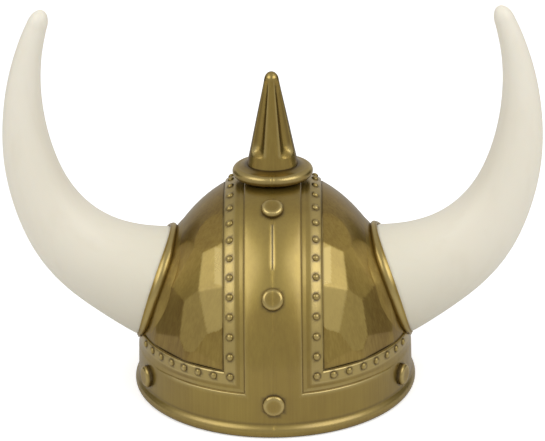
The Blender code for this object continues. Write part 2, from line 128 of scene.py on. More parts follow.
def bell(value: Array, middle: float, spread: float) -> Array:
    """Return 1 at the middle and a smooth fall to 0 on both sides of it.

    Args:
        value: Values to look up.
        middle: Where the curve peaks.
        spread: How far from there it has fallen to about a third.

    Returns:
        The curve's value for each one.
    """
    return np.exp(-(((value - middle) / spread) ** 2))


def hermite(table: Sequence[tuple[float, float]], where: Array) -> Array:
    """Read a table of (place, value) rows through a smooth curve.

    Args:
        table: Rows in rising order of place.
        where: Places to read at.

    Returns:
        The value at each place.
    """
    places = np.array([row[0] for row in table])
    values = np.array([row[1] for row in table])
    before = np.concatenate([[0], np.arange(len(table) - 1)])
    after = np.concatenate([np.arange(1, len(table)), [len(table) - 1]])
    slopes = (values[after] - values[before]) / (places[after] - places[before])
    i = np.clip(np.searchsorted(places, where, side="right") - 1, 0, len(table) - 2)
    span = places[i + 1] - places[i]
    s = (where - places[i]) / span
    return (
        (2 * s**3 - 3 * s**2 + 1) * values[i]
        + (s**3 - 2 * s**2 + s) * span * slopes[i]
        + (3 * s**2 - 2 * s**3) * values[i + 1]
        + (s**3 - s**2) * span * slopes[i + 1]
    )


def grid_faces(rows: int, columns: int, wrap: bool) -> list[tuple[int, int, int, int]]:
    """Return the quads of a grid whose points are numbered row by row.

    Args:
        rows: Number of rows.
        columns: Number of points in a row.
        wrap: Whether each row closes on itself.

    Returns:
        Corner indices of every quad.
    """
    across = columns if wrap else columns - 1
    faces = []
    for row in range(rows - 1):
        for column in range(across):
            after = (column + 1) % columns
            low = row * columns
            high = low + columns
            faces.append((low + column, low + after, high + after, high + column))
    return faces


def bearing(azimuth: float, elevation: float = 0.0) -> Vector:
    """Return a unit direction.

    Args:
        azimuth: Degrees from the front, turning towards +X.
        elevation: Degrees above the level.

    Returns:
        The direction.
    """
    turn = math.radians(azimuth)
    rise = math.radians(elevation)
    return Vector((math.sin(turn) * math.cos(rise), -math.cos(turn) * math.cos(rise), math.sin(rise)))


@contextmanager
def editing(mesh: bpy.types.Mesh) -> Iterator[bmesh.types.BMesh]:
    """Open a mesh for editing and write it back afterwards.

    Args:
        mesh: The mesh.

    Yields:
        Its editable form.
    """
    bm = bmesh.new()
    bm.from_mesh(mesh)
    yield bm
    bm.to_mesh(mesh)
    bm.free()


def shade(mesh: bpy.types.Mesh, sharp: float) -> None:
    """Shade a mesh smooth, apart from edges past an angle in degrees."""
    mesh.shade_smooth()
    mesh.set_sharp_from_angle(angle=math.radians(sharp))


@dataclass
class Skin:
    """A mesh in the making: points, faces and the masks at each point."""

    points: Array
    faces: list[tuple[int, ...]]
    masks: dict[Mask, Array] = field(default_factory=dict)

    def to_mesh(self, name: str, sharp: float = 40.0) -> bpy.types.Mesh:
        """Make the mesh, weld its doubles, face it outwards and shade it.

        Args:
            name: The mesh's name.
            sharp: Angle in degrees past which an edge stays sharp.

        Returns:
            The finished mesh.
        """
        mesh = bpy.data.meshes.new(name)
        mesh.from_pydata(self.points.tolist(), [], self.faces)
        for mask, values in self.masks.items():
            layer = mesh.attributes.new(mask.value, "FLOAT", "POINT")
            layer.data.foreach_set("value", np.ascontiguousarray(values, dtype=np.float32))
        with editing(mesh) as bm:
            bmesh.ops.remove_doubles(bm, verts=bm.verts, dist=WELD)
            bmesh.ops.recalc_face_normals(bm, faces=bm.faces)
        shade(mesh, sharp)
        return mesh


def add_piece(name: str, mesh: bpy.types.Mesh, material: bpy.types.Material | None) -> bpy.types.Object:
    """Put a mesh in the scene at the origin.

    Args:
        name: The piece's name.
        mesh: Its mesh, already in place.
        material: Its finish, or None where the mesh has it.

    Returns:
        The new object.
    """
    obj = bpy.data.objects.new(name, mesh)
    bpy.context.scene.collection.objects.link(obj)
    if material is not None:
        mesh.materials.clear()
        mesh.materials.append(material)
    return obj


def dress(piece: bpy.types.Object, slot: str, *nodes: str) -> bpy.types.Object:
    """Let a piece ride on the helmet's body and stand for its CAD nodes.

    Args:
        piece: The piece.
        slot: Not used.
        nodes: The CAD nodes that it replaces, if any.

    Returns:
        The same piece.
    """
    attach(piece, "root")
    if nodes:
        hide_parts(*nodes)
    return piece


def settle(obj: bpy.types.Object) -> bpy.types.Mesh:
    """Return the object's evaluated mesh and remove the object.

    Args:
        obj: An object with live modifiers.

    Returns:
        A plain mesh of what they make.
    """
    bpy.context.view_layer.update()
    graph = bpy.context.evaluated_depsgraph_get()
    mesh = bpy.data.meshes.new_from_object(obj.evaluated_get(graph), depsgraph=graph)
    bpy.data.objects.remove(obj, do_unlink=True)
    return mesh


def walled(mesh: bpy.types.Mesh, wall: float) -> bpy.types.Mesh:
    """Give a sheet a wall on its inner side.

    Args:
        mesh: The sheet, facing outwards.
        wall: The wall's thickness.

    Returns:
        The closed mesh.
    """
    carrier = add_piece("sheet", mesh, None)
    modifier = carrier.modifiers.new("wall", "SOLIDIFY")
    modifier.thickness = wall
    modifier.offset = -1.0
    return settle(carrier)


def turned_skin(profile: Array, steps: int, edge: Array, hollow: Array) -> Skin:
    """Turn an open (radius, height) profile round the Z axis.

    Args:
        profile: Radius and height of each row, from the middle of the top outwards.
        steps: Points round the turn.
        edge: Edge wear with painted highlight of each row.
        hollow: Painted shade of each row.

    Returns:
        The turned skin.
    """
    angles = np.linspace(0.0, 2.0 * math.pi, steps, endpoint=False)
    radius = profile[:, 0][:, None]
    points = np.stack(
        [radius * np.cos(angles), radius * np.sin(angles), np.repeat(profile[:, 1][:, None], steps, axis=1)],
        axis=-1,
    )
    return Skin(
        points.reshape(-1, 3),
        grid_faces(len(profile), steps, wrap=True),
        {Mask.EDGE: np.repeat(edge, steps), Mask.HOLLOW: np.repeat(hollow, steps)},
    )


# The forms that every gold piece is laid on


@dataclass(frozen=True)
class DomeForm:
    """The smooth oval dome on its upright wall, in metres."""

    half_width: float = 97.5 * MM
    oval: float = 1.08
    spring: float = 47.5 * MM
    rise: float = 109.36 * MM
    plan_power: float = 2.228
    rise_power: float = 1.387
    # Points over the crest are found by halving a way this long this many times.
    reach: float = 0.2
    halvings: int = 36

    def width_at(self, height: Array) -> Array:
        """Return the half width at each height; it is constant below the spring line."""
        share = np.clip((height - self.spring) / self.rise, 0.0, 1.0)
        return self.half_width * (1.0 - share**self.rise_power) ** (1.0 / self.plan_power)

    def inside(self, points: Array, offset: float = 0.0) -> Array:
        """Return whether each point lies inside the dome grown by an offset in plan."""
        radius = np.hypot(points[..., 0], points[..., 1] / self.oval)
        return radius < self.width_at(points[..., 2]) + offset

    def normals(self, points: Array) -> Array:
        """Return the outward unit normal at each point of the dome.

        Args:
            points: Points on the dome.

        Returns:
            A normal for each point.
        """
        x = points[..., 0]
        y = points[..., 1]
        radius = np.maximum(np.hypot(x, y / self.oval), 1e-9)
        share = np.clip((points[..., 2] - self.spring) / self.rise, 0.0, 1.0)
        spread = self.plan_power * (radius / self.half_width) ** (self.plan_power - 1.0) / self.half_width
        lift = self.rise_power * share ** (self.rise_power - 1.0) / self.rise
        normal = np.stack([spread * x / radius, spread * y / (self.oval**2 * radius), lift], axis=-1)
        return normal / np.linalg.norm(normal, axis=-1, keepdims=True)

    def at_height(self, azimuth: Array, height: Array) -> Array:
        """Return points on the dome.

        Args:
            azimuth: Angles in radians from the front, turning towards +X.
            height: Heights in metres.

        Returns:
            A point for each pair.
        """
        width = self.width_at(height)
        return np.stack([width * np.sin(azimuth), -self.oval * width * np.cos(azimuth), height + 0 * azimuth], axis=-1)

    def across_crest(self, across: Array, angle: Array) -> Array:
        """Return points on the dome over the crest.

        Args:
            across: Distances from the middle plane.
            angle: Angles in radians from the top, forward positive, round the spring line.

        Returns:
            A point for each pair.
        """
        across, angle = np.broadcast_arrays(across, angle)
        way = np.stack([0 * across, -np.sin(angle), np.cos(angle)], axis=-1)
        start = np.stack([across, 0 * across, self.spring + 0 * across], axis=-1)
        near = np.zeros(across.shape)
        far = np.full(across.shape, self.reach)
        for _ in range(self.halvings):
            middle = (near + far) / 2.0
            inside = self.inside(start + way * middle[..., None])
            near = np.where(inside, middle, near)
            far = np.where(inside, far, middle)
        return start + way * near[..., None]

    def rows(self, count: int) -> Array:
        """Return the heights of evenly turned rows from the apex down to the spring line."""
        angle = np.linspace(0.0, math.pi / 2.0, count + 1)
        return self.spring + self.rise * np.maximum(np.cos(angle), 0.0) ** (2.0 / self.rise_power)


@dataclass(frozen=True)
class Flat:
    """One hammered flat: its middle in degrees and mm, depth in mm, lean and swing in degrees, and tone, its painted
    light and shade.
    """

    azimuth: float
    height: float
    depth: float
    lean: float = 0.0
    swing: float = 0.0
    tone: float = 0.5


@dataclass(frozen=True)
class HammeredForm:
    """The dome with its hammered flats, mirrored into all four panels."""

    dome: DomeForm
    # Each flat's tone paints light on some flats and shade on others: negative lighter, positive darker.
    flats: tuple[Flat, ...] = (
        Flat(azimuth=47.5, height=129.5, depth=1.2, tone=0.35),
        Flat(azimuth=37.5, height=112.0, depth=1.6, lean=-1.0, swing=-1.0, tone=-0.3),
        Flat(azimuth=27.0, height=87.0, depth=1.15, swing=6.0, tone=-0.42),
        Flat(azimuth=39.5, height=80.0, depth=1.8, lean=-1.0, tone=-0.12),
        Flat(azimuth=25.5, height=61.5, depth=0.75, swing=3.0, tone=0.2),
        Flat(azimuth=53.0, height=80.0, depth=1.62, lean=-3.0, tone=0.8),
        Flat(azimuth=51.0, height=53.0, depth=1.62, tone=0.7),
        Flat(azimuth=31.0, height=48.5, depth=1.0, tone=0.3),
        Flat(azimuth=61.0, height=105.0, depth=1.1, tone=0.25),
        Flat(azimuth=49.5, height=100.5, depth=1.62, tone=0.1),
    )
    # Painted shade on the smooth cap above the flats.
    cap_tone: float = 0.75
    # A painted highlight over each panel's upper inner slab: its reach from the middle plane, its heights and its tone.
    polish_reach: float = 41.0 * MM
    polish_foot: float = 102.5 * MM
    polish_top: float = 123.0 * MM
    polish_tone: float = -0.75
    softness: float = 0.015 * MM
    hub_height: float = 55.0 * MM
    # Where a plane that a way never meets is taken to lie, in lengths of the way.
    out_of_reach: float = 9.0

    def planes(self) -> tuple[Array, Array, Array]:
        """Lay out every flat's plane.

        Returns:
            The planes' unit normals, distances and tones.
        """
        normals = []
        distances = []
        tones = []
        for flat in self.flats:
            azimuth = np.array(math.radians(flat.azimuth))
            foot = self.dome.at_height(azimuth, np.array(flat.height * MM))
            normal = self.dome.normals(foot)
            foot = foot - normal * flat.depth * MM
            side = Vector((0.0, 0.0, 1.0)).cross(Vector(normal)).normalized()
            leaned = Matrix.Rotation(math.radians(-flat.lean), 3, side) @ Vector(normal)
            leaned = np.array(Matrix.Rotation(math.radians(flat.swing), 3, "Z") @ leaned)
            for flip in ((1, 1, 1), (-1, 1, 1), (1, -1, 1), (-1, -1, 1)):
                normals.append(leaned * flip)
                distances.append(float(np.dot(leaned, foot)))
                tones.append(flat.tone)
        return np.array(normals), np.array(distances), np.array(tones)

    def press(self, points: Array) -> tuple[Array, Array]:
        """Press points of the smooth dome in to the flats, with slightly rounded ridges between them.

        Args:
            points: Points on the smooth dome.

        Returns:
            The points on the hammered dome and the painted light and shade of the flat at each.
        """
        normals, distances, tones = self.planes()
        hub = np.array([0.0, 0.0, self.hub_height])
        ways = points - hub
        reach = np.ones(ways.shape[:-1])
        tone = np.full(ways.shape[:-1], self.cap_tone)
        soft = self.softness / np.linalg.norm(ways, axis=-1)
        for normal, distance, own in zip(normals, distances, tones):
            facing = ways @ normal
            there = np.where(facing > TINY, (distance - hub @ normal) / np.maximum(facing, TINY), self.out_of_reach)
            tone = np.where(there < reach, own, tone)
            blend = np.clip(1.0 - np.abs(there - reach) / (4.0 * soft), 0.0, 1.0)
            reach = np.minimum(reach, there) - blend * blend * soft
        pressed = hub + ways * reach[..., None]
        across, height = np.abs(pressed[..., 0]), pressed[..., 2]
        highlighted = (across < self.polish_reach) & (height > self.polish_foot) & (height < self.polish_top)
        return pressed, np.where(highlighted, self.polish_tone, tone)

    def inside(self, points: Array) -> Array:
        """Return whether each point lies inside the hammered dome."""
        normals, distances, _ = self.planes()
        return self.dome.inside(points) & (points @ normals.T <= distances).all(axis=-1)


@dataclass(frozen=True)
class BandRelief:
    """The relief of crest and brow, read from the edge of the raised middle band outwards."""

    band_half: float = 19.9 * MM
    belt_height: float = 32.0 * MM
    border: float = 14.7 * MM
    flare: float = 1.2 * MM
    underside: float = -1.9 * MM
    fade_from: float = 37.0
    fade_to: float = 62.0
    # Distance from the band's edge, height over the dome, edge wear with painted highlight, painted shade; lengths in
    # mm.
    steps: tuple[tuple[float, float, float, float], ...] = (
        (-6.0, 1.90, 0.0, 0.0),
        (-3.2, 1.86, 0.0, 0.0),
        (-2.0, 1.79, 0.1, 0.0),
        (-1.1, 1.69, 0.3, 0.0),
        (-0.55, 1.56, 0.7, 0.0),
        (-0.2, 1.36, 0.8, 0.0),
        (0.0, 1.05, 0.4, 0.05),
        (0.12, 0.72, 0.0, 0.3),
        (0.3, 0.36, 0.0, 0.5),
        (0.55, 0.28, 0.0, 0.5),
        (0.8, 0.36, 0.0, 0.3),
        (1.2, 0.42, 0.3, 0.1),
        (3.0, 0.42, 0.2, 0.0),
        (3.5, 0.50, 0.0, 0.2),
        (5.0, 0.90, 0.0, 0.2),
        (6.1, 1.22, 0.2, 0.1),
        (6.8, 1.36, 0.5, 0.0),
        (9.0, 1.46, 0.1, 0.0),
        (10.7, 1.48, 0.0, 0.0),
        (12.6, 1.42, 0.1, 0.0),
        (13.6, 1.30, 0.5, 0.0),
        (14.15, 1.10, 1.0, 0.0),
        (14.5, 0.75, 0.8, 0.0),
        (14.7, 0.25, 0.1, 0.3),
        (14.8, -0.25, 0.0, 0.5),
        (15.8, -0.4, 0.0, 0.5),
    )

    def read(self, inset: Array, column: int) -> Array:
        """Return one column of the relief at each inset from the band's edge."""
        table = np.array(self.steps)
        return np.interp(inset / MM, table[:, 0], table[:, column])

    def flared(self, dome: DomeForm, height: Array) -> Array:
        """Return how far the wall has flared out below the spring line."""
        return self.flare * (dome.spring - height) / dome.spring

    def softened(self, inset: Array) -> Array:
        """Return the plain step that the relief turns into round the sides, in mm."""
        step = 1.9 - 0.55 * smooth_step(-0.8 * MM, 2.6 * MM, inset)
        return np.where(inset > 7.0 * MM, self.read(inset, 1), step + (inset > 3.0 * MM) * 0.04 * (inset / MM - 3.0))

    def insets(self) -> Array:
        """Return the insets of the relief's steps in metres."""
        return np.array([row[0] for row in self.steps]) * MM


# Shader node groups and finishes


class NodeSheet:
    """Places and wires nodes in one node tree."""

    def __init__(self, tree: bpy.types.NodeTree) -> None:
        """Keep the tree to work in."""
        self.tree = tree

    def fill(self, node: bpy.types.Node, inputs: Inputs) -> None:
        """Give a node's inputs constants or links.

        Args:
            node: The node.
            inputs: A number, a colour or another node's output for each input, by its name or number.
        """
        for socket, value in inputs.items():
            if isinstance(value, bpy.types.NodeSocket):
                self.tree.links.new(value, node.inputs[socket])
            else:
                node.inputs[socket].default_value = value

    def add(self, kind: str, inputs: Inputs | None = None, **settings: object) -> bpy.types.Node:
        """Add a node.

        Args:
            kind: Its bl_idname.
            inputs: What its inputs get.
            settings: Its own properties, set before the inputs.

        Returns:
            The node.
        """
        node = self.tree.nodes.new(kind)
        for name, value in settings.items():
            setattr(node, name, value)
        self.fill(node, inputs or {})
        return node

    def math(self, operation: str, *values: object) -> bpy.types.NodeSocket:
        """Return the output of a Math node."""
        return self.add("ShaderNodeMath", dict(enumerate(values)), operation=operation).outputs[0]

    def times(self, first: object, second: object) -> bpy.types.NodeSocket:
        """Return the product of two values."""
        return self.math("MULTIPLY", first, second)

    def most(self, first: object, second: object) -> bpy.types.NodeSocket:
        """Return the larger of two values."""
        return self.math("MAXIMUM", first, second)

    def minus(self, first: object, second: object) -> bpy.types.NodeSocket:
        """Return the first value less the second."""
        return self.math("SUBTRACT", first, second)

    def added(self, value: object, share: object, base: object) -> bpy.types.NodeSocket:
        """Return a base with a share of a value added."""
        return self.math("MULTIPLY_ADD", value, share, base)

    def ramp(self, value: object, low: float, high: float) -> bpy.types.NodeSocket:
        """Return a smooth 0 to 1 ramp of a value between two limits."""
        inputs = {"Value": value, "From Min": low, "From Max": high}
        return self.add("ShaderNodeMapRange", inputs, interpolation_type="SMOOTHSTEP").outputs[0]

    def mix(self, share: object, first: object, second: object) -> bpy.types.NodeSocket:
        """Return a mix of two colours, each a triple or another node's output."""
        # The node has sockets for each kind of value; 6, 7 and the third output are the colours'.
        inks = [(*ink, 1.0) if isinstance(ink, tuple) else ink for ink in (first, second)]
        return self.add("ShaderNodeMix", {0: share, 6: inks[0], 7: inks[1]}, data_type="RGBA").outputs[2]

    def noise(self, vector: object, scale: object, detail: float = 2.0, roughness: float = 0.5) -> bpy.types.NodeSocket:
        """Return a noise texture's value."""
        inputs = {"Vector": vector, "Scale": scale, "Detail": detail, "Roughness": roughness}
        return self.add("ShaderNodeTexNoise", inputs).outputs[0]

    def stretched(self, vector: object, scale: Triple) -> bpy.types.NodeSocket:
        """Return a vector scaled along each axis."""
        return self.add("ShaderNodeMapping", {"Vector": vector, "Scale": scale}).outputs[0]

    def mask(self, mask: Mask) -> bpy.types.NodeSocket:
        """Return a point attribute's value."""
        return self.add("ShaderNodeAttribute", attribute_name=mask.value).outputs["Fac"]

    def place(self) -> bpy.types.NodeSocket:
        """Return the piece's own coordinates."""
        return self.add("ShaderNodeTexCoord").outputs["Object"]

    def effect(self, group: bpy.types.NodeTree, inputs: Inputs | None = None) -> bpy.types.NodeOutputs:
        """Return the outputs of a shader node group laid on the piece's own coordinates."""
        return self.add("ShaderNodeGroup", {"Vector": self.place(), **(inputs or {})}, node_tree=group).outputs

    def bumped(self, shader: bpy.types.Node, layers: Sequence[tuple[object, float, float]]) -> None:
        """Stack bumps on a shader's normal.

        Args:
            shader: The shader.
            layers: Height, strength and distance in mm of each bump, the undermost first.
        """
        below = None
        for height, strength, distance in layers:
            bump = self.add("ShaderNodeBump", {"Height": height, "Strength": strength, "Distance": distance * MM})
            if below is not None:
                self.fill(bump, {"Normal": below})
            below = bump.outputs[0]
        self.fill(shader, {"Normal": below})


class Effect:
    """Shader node groups that more than one finish uses, each built once."""

    def __init__(self) -> None:
        """Build the groups."""
        self.brushed = self._brushed()
        self.mottle = self._mottle()
        self.seam = self._seam()

    @staticmethod
    def _group(
        name: str, inputs: dict[str, float], outputs: Sequence[str]
    ) -> tuple[NodeSheet, bpy.types.NodeOutputs, bpy.types.Node]:
        """Start a group that reads a vector.

        Args:
            name: The group's name.
            inputs: Name and default of each further input.
            outputs: Names of the outputs.

        Returns:
            The group's sheet, what comes in and the node that puts the outputs out.
        """
        group = bpy.data.node_groups.new(name, "ShaderNodeTree")
        group.interface.new_socket("Vector", in_out="INPUT", socket_type="NodeSocketVector")
        for label, default in inputs.items():
            group.interface.new_socket(label, in_out="INPUT", socket_type="NodeSocketFloat").default_value = default
        for label in outputs:
            group.interface.new_socket(label, in_out="OUTPUT", socket_type="NodeSocketFloat")
        sheet = NodeSheet(group)
        return sheet, sheet.add("NodeGroupInput").outputs, sheet.add("NodeGroupOutput")

    def _brushed(self) -> bpy.types.NodeTree:
        """Build fine upright striations.

        Returns:
            The group: a height and a shade.
        """
        sheet, given, end = self._group("brushed_striation", {"Fineness": 620.0}, ["Height", "Shade"])
        lines = sheet.stretched(given["Vector"], (1.0, 1.0, 0.02))
        fine = sheet.noise(lines, given["Fineness"], 3.0, 0.65)
        broad = sheet.noise(lines, 220.0)
        height = sheet.math("ADD", sheet.times(fine, 0.6), sheet.times(broad, 0.4))
        sheet.fill(end, {"Height": height, "Shade": sheet.ramp(height, 0.36, 0.64)})
        return sheet.tree

    def _mottle(self) -> bpy.types.NodeTree:
        """Build slow patchiness at two scales.

        Returns:
            The group: a tone and a speckle.
        """
        sheet, given, end = self._group("patchy_tone", {"Patch Scale": 22.0}, ["Tone", "Speckle"])
        patches = sheet.noise(given["Vector"], given["Patch Scale"], 4.0)
        speckle = sheet.noise(given["Vector"], 1100.0, 1.0)
        sheet.fill(end, {"Tone": sheet.ramp(patches, 0.3, 0.7), "Speckle": speckle})
        return sheet.tree

    def _seam(self) -> bpy.types.NodeTree:
        """Build the mould's parting line up the middle plane: a welt with a groove, plain only in the clear stretch.

        Returns:
            The group: the line's height, the groove's mask for painted shade and a painted highlight on the welt either
                side of the groove.
        """
        sizes = {
            "Welt": 1.8 * MM,
            "Groove": 0.5 * MM,
            "Clear From": CLEAR_LINE[0],
            "Clear To": CLEAR_LINE[1],
            "Faint": 0.12,
        }
        sheet, given, end = self._group("parting_line", sizes, ["Height", "Mask", "Lips"])
        place = sheet.add("ShaderNodeSeparateXYZ", {0: given["Vector"]}).outputs
        away = sheet.math("ABSOLUTE", place["X"])
        welt = sheet.minus(1.0, sheet.ramp(sheet.math("DIVIDE", away, given["Welt"]), 0.3, 1.0))
        groove = sheet.minus(1.0, sheet.ramp(sheet.math("DIVIDE", away, given["Groove"]), 0.2, 1.0))
        low = sheet.math("DIVIDE", sheet.minus(place["Z"], given["Clear From"]), CLEAR_FADE[0])
        high = sheet.math("DIVIDE", sheet.minus(given["Clear To"], place["Z"]), CLEAR_FADE[1])
        clear = sheet.times(sheet.ramp(low, 0.0, 1.0), sheet.ramp(high, 0.0, 1.0))
        # A finish without the line gives no faint one, and then the clear stretch is left out too.
        clear = sheet.times(clear, sheet.math("GREATER_THAN", given["Faint"], 0.0))
        strength = sheet.most(clear, given["Faint"])
        bump = sheet.most(sheet.times(clear, 0.4), given["Faint"])
        # Painted highlight on the welt either side of the groove.
        lip_highlight = sheet.most(sheet.minus(welt, groove), 0.0)
        outputs = {
            "Height": sheet.times(sheet.added(groove, -1.3, welt), bump),
            "Mask": sheet.times(sheet.times(groove, strength), 0.6),
            "Lips": sheet.times(lip_highlight, clear),
        }
        sheet.fill(end, outputs)
        return sheet.tree


def blank_material(name: str) -> tuple[bpy.types.Material, bpy.types.Node, NodeSheet]:
    """Start a material.

    Args:
        name: Its name.

    Returns:
        The material, its shader and its sheet.
    """
    material = bpy.data.materials.new(name)
    material.use_nodes = True
    return material, material.node_tree.nodes["Principled BSDF"], NodeSheet(material.node_tree)


@dataclass(frozen=True)
class GoldFinish:
    """Antique-gold moulded plastic: satin, finely brushed, with painted shade in the hollows and edge wear with painted
    highlights on the edges.
    """

    name: str
    body: Triple = (0.375, 0.265, 0.06)
    # The darker tone that random patches, brushing and the flats' painted light and shade lean towards.
    shade: Triple = (0.225, 0.138, 0.025)
    # The colour of the painted shade.
    hollow: Triple = (0.07, 0.042, 0.009)
    # The colour of edge wear and of painted highlights.
    worn: Triple = (0.52, 0.40, 0.15)
    roughness: float = 0.36
    metallic: float = 0.9
    rim_tint: Triple = (0.85, 0.75, 0.55)
    coat: float = 0.6
    coat_roughness: float = 0.22
    # How much painted shade darkens the silhouette, where the surface turns away from the view.
    rim: float = 0.0
    brushing: float = 0.25
    waviness: float = 0.0
    # How strongly the painted light and shade of the flats, the crest and the collars shows.
    flats: float = 0.0
    seam: float = 0.12

    def make(self, effect: Effect) -> bpy.types.Material:
        """Build the material.

        Args:
            effect: The shared shader groups.

        Returns:
            The material.
        """
        material, shader, sheet = blank_material(self.name)
        brushed = sheet.effect(effect.brushed)
        patchy = sheet.effect(effect.mottle)
        seam = sheet.effect(effect.seam, {"Faint": self.seam})

        # Edge wear mixed with painted highlights: on edges, beside the parting line's groove, as sheen on the strips
        # and on the lit flats.
        edge = sheet.times(sheet.mask(Mask.EDGE), sheet.added(patchy["Tone"], 0.5, 0.5))
        edge = sheet.most(edge, seam["Lips"])
        edge = sheet.most(edge, sheet.times(sheet.mask(Mask.GRIT), 0.5))
        # Painted shade in creases, recesses, contact rings and the parting line's groove.
        hollow = sheet.ramp(sheet.most(sheet.mask(Mask.HOLLOW), seam["Mask"]), 0.0, 1.0)
        tone = sheet.times(patchy["Tone"], 0.35)
        tone = sheet.added(brushed["Shade"], self.brushing, tone)
        # Painted light and shade of each flat: positive tones darken it, negative ones paint a highlight.
        if self.flats > 0.0:
            flat = sheet.mask(Mask.TONE)
            tone = sheet.added(flat, self.flats, tone)
            edge = sheet.most(edge, sheet.times(flat, -1.0))
        colour = sheet.mix(tone, self.body, self.shade)
        colour = sheet.mix(edge, colour, self.worn)
        colour = sheet.mix(sheet.times(hollow, 0.85), colour, self.hollow)
        # Painted shade along the silhouette, where the surface turns away from the view.
        if self.rim > 0.0:
            turned = sheet.ramp(sheet.add("ShaderNodeLayerWeight").outputs["Facing"], 0.45, 1.0)
            colour = sheet.mix(sheet.times(turned, self.rim), colour, self.hollow)

        rough = sheet.added(patchy["Tone"], 0.06, self.roughness)
        rough = sheet.added(hollow, 0.2, rough)
        rough = sheet.added(edge, -0.06, rough)
        look = {
            "Base Color": colour,
            "Roughness": rough,
            "Metallic": self.metallic,
            "Specular Tint": (*self.rim_tint, 1.0),
            "Coat Weight": self.coat,
            "Coat Roughness": self.coat_roughness,
        }
        sheet.fill(shader, look)
        waves = sheet.noise(sheet.place(), 55.0, 1.0)
        grit = sheet.times(patchy["Speckle"], sheet.mask(Mask.GRIT))
        layers = (
            (brushed["Height"], 0.35, 0.05),
            (waves, 1.0, max(self.waviness, 0.02)),
            (seam["Height"], 1.0, 0.55),
            (grit, 0.8, 0.12),
        )
        sheet.bumped(shader, layers)
        return material


@dataclass(frozen=True)
class IvoryFinish:
    """Ivory-coloured moulded plastic: satin, faintly warmer and darker at the root with painted shade, lighter at the
    tip with painted light, and drawn with a long soft grain.
    """

    name: str = "horn_ivory"
    body: Triple = (0.89, 0.83, 0.695)
    # root and tip: painted shade near the collar, painted light towards the tip.
    root: Triple = (0.81, 0.76, 0.62)
    tip: Triple = (0.91, 0.855, 0.73)
    grain: Triple = (0.74, 0.66, 0.50)
    roughness: float = 0.36

    def make(self, effect: Effect) -> bpy.types.Material:
        """Build the material.

        Args:
            effect: The shared shader groups.

        Returns:
            The material.
        """
        material, shader, sheet = blank_material(self.name)
        along = sheet.mask(Mask.ALONG)
        patchy = sheet.effect(effect.mottle, {"Patch Scale": 14.0})
        streak = sheet.noise(sheet.stretched(sheet.place(), (1.0, 2.5, 0.35)), 60.0, 3.0)
        grain = sheet.times(sheet.ramp(streak, 0.45, 0.8), 0.16)
        grain = sheet.added(patchy["Tone"], 0.06, grain)
        # Painted shade at the root and painted light at the tip, along the horn.
        colour = sheet.mix(sheet.ramp(along, 0.0, 0.35), self.root, self.body)
        colour = sheet.mix(sheet.ramp(along, 0.5, 1.0), colour, self.tip)
        look = {
            "Base Color": sheet.mix(grain, colour, self.grain),
            "Roughness": sheet.added(patchy["Tone"], 0.06, self.roughness),
            "Subsurface Weight": 0.12,
            "Subsurface Radius": (1.0, 0.75, 0.5),
            "Subsurface Scale": 4.0 * MM,
            "Specular IOR Level": 0.45,
        }
        sheet.fill(shader, look)
        sheet.bumped(shader, ((patchy["Speckle"], 0.25, 0.03), (streak, 0.6, 0.12)))
        return material


@dataclass(frozen=True)
class FloorFinish:
    """The pale floor, lit a little from below as a light table is."""

    name: str = "pale_floor"
    colour: Triple = (0.93, 0.93, 0.93)
    bounce: Triple = (0.78, 0.78, 0.78)
    glow: float = 0.5

    def make(self) -> bpy.types.Material:
        """Build the material.

        Returns:
            The material.
        """
        material, shader, sheet = blank_material(self.name)
        seen = sheet.add("ShaderNodeLightPath").outputs["Is Camera Ray"]
        look = {
            "Base Color": sheet.mix(seen, self.bounce, self.colour),
            "Roughness": 0.9,
            "Specular IOR Level": 0.1,
            "Emission Color": sheet.mix(seen, (0.0, 0.0, 0.0), (1.0, 1.0, 1.0)),
            "Emission Strength": self.glow,
        }
        sheet.fill(shader, look)
        return material


# Sub-assemblies


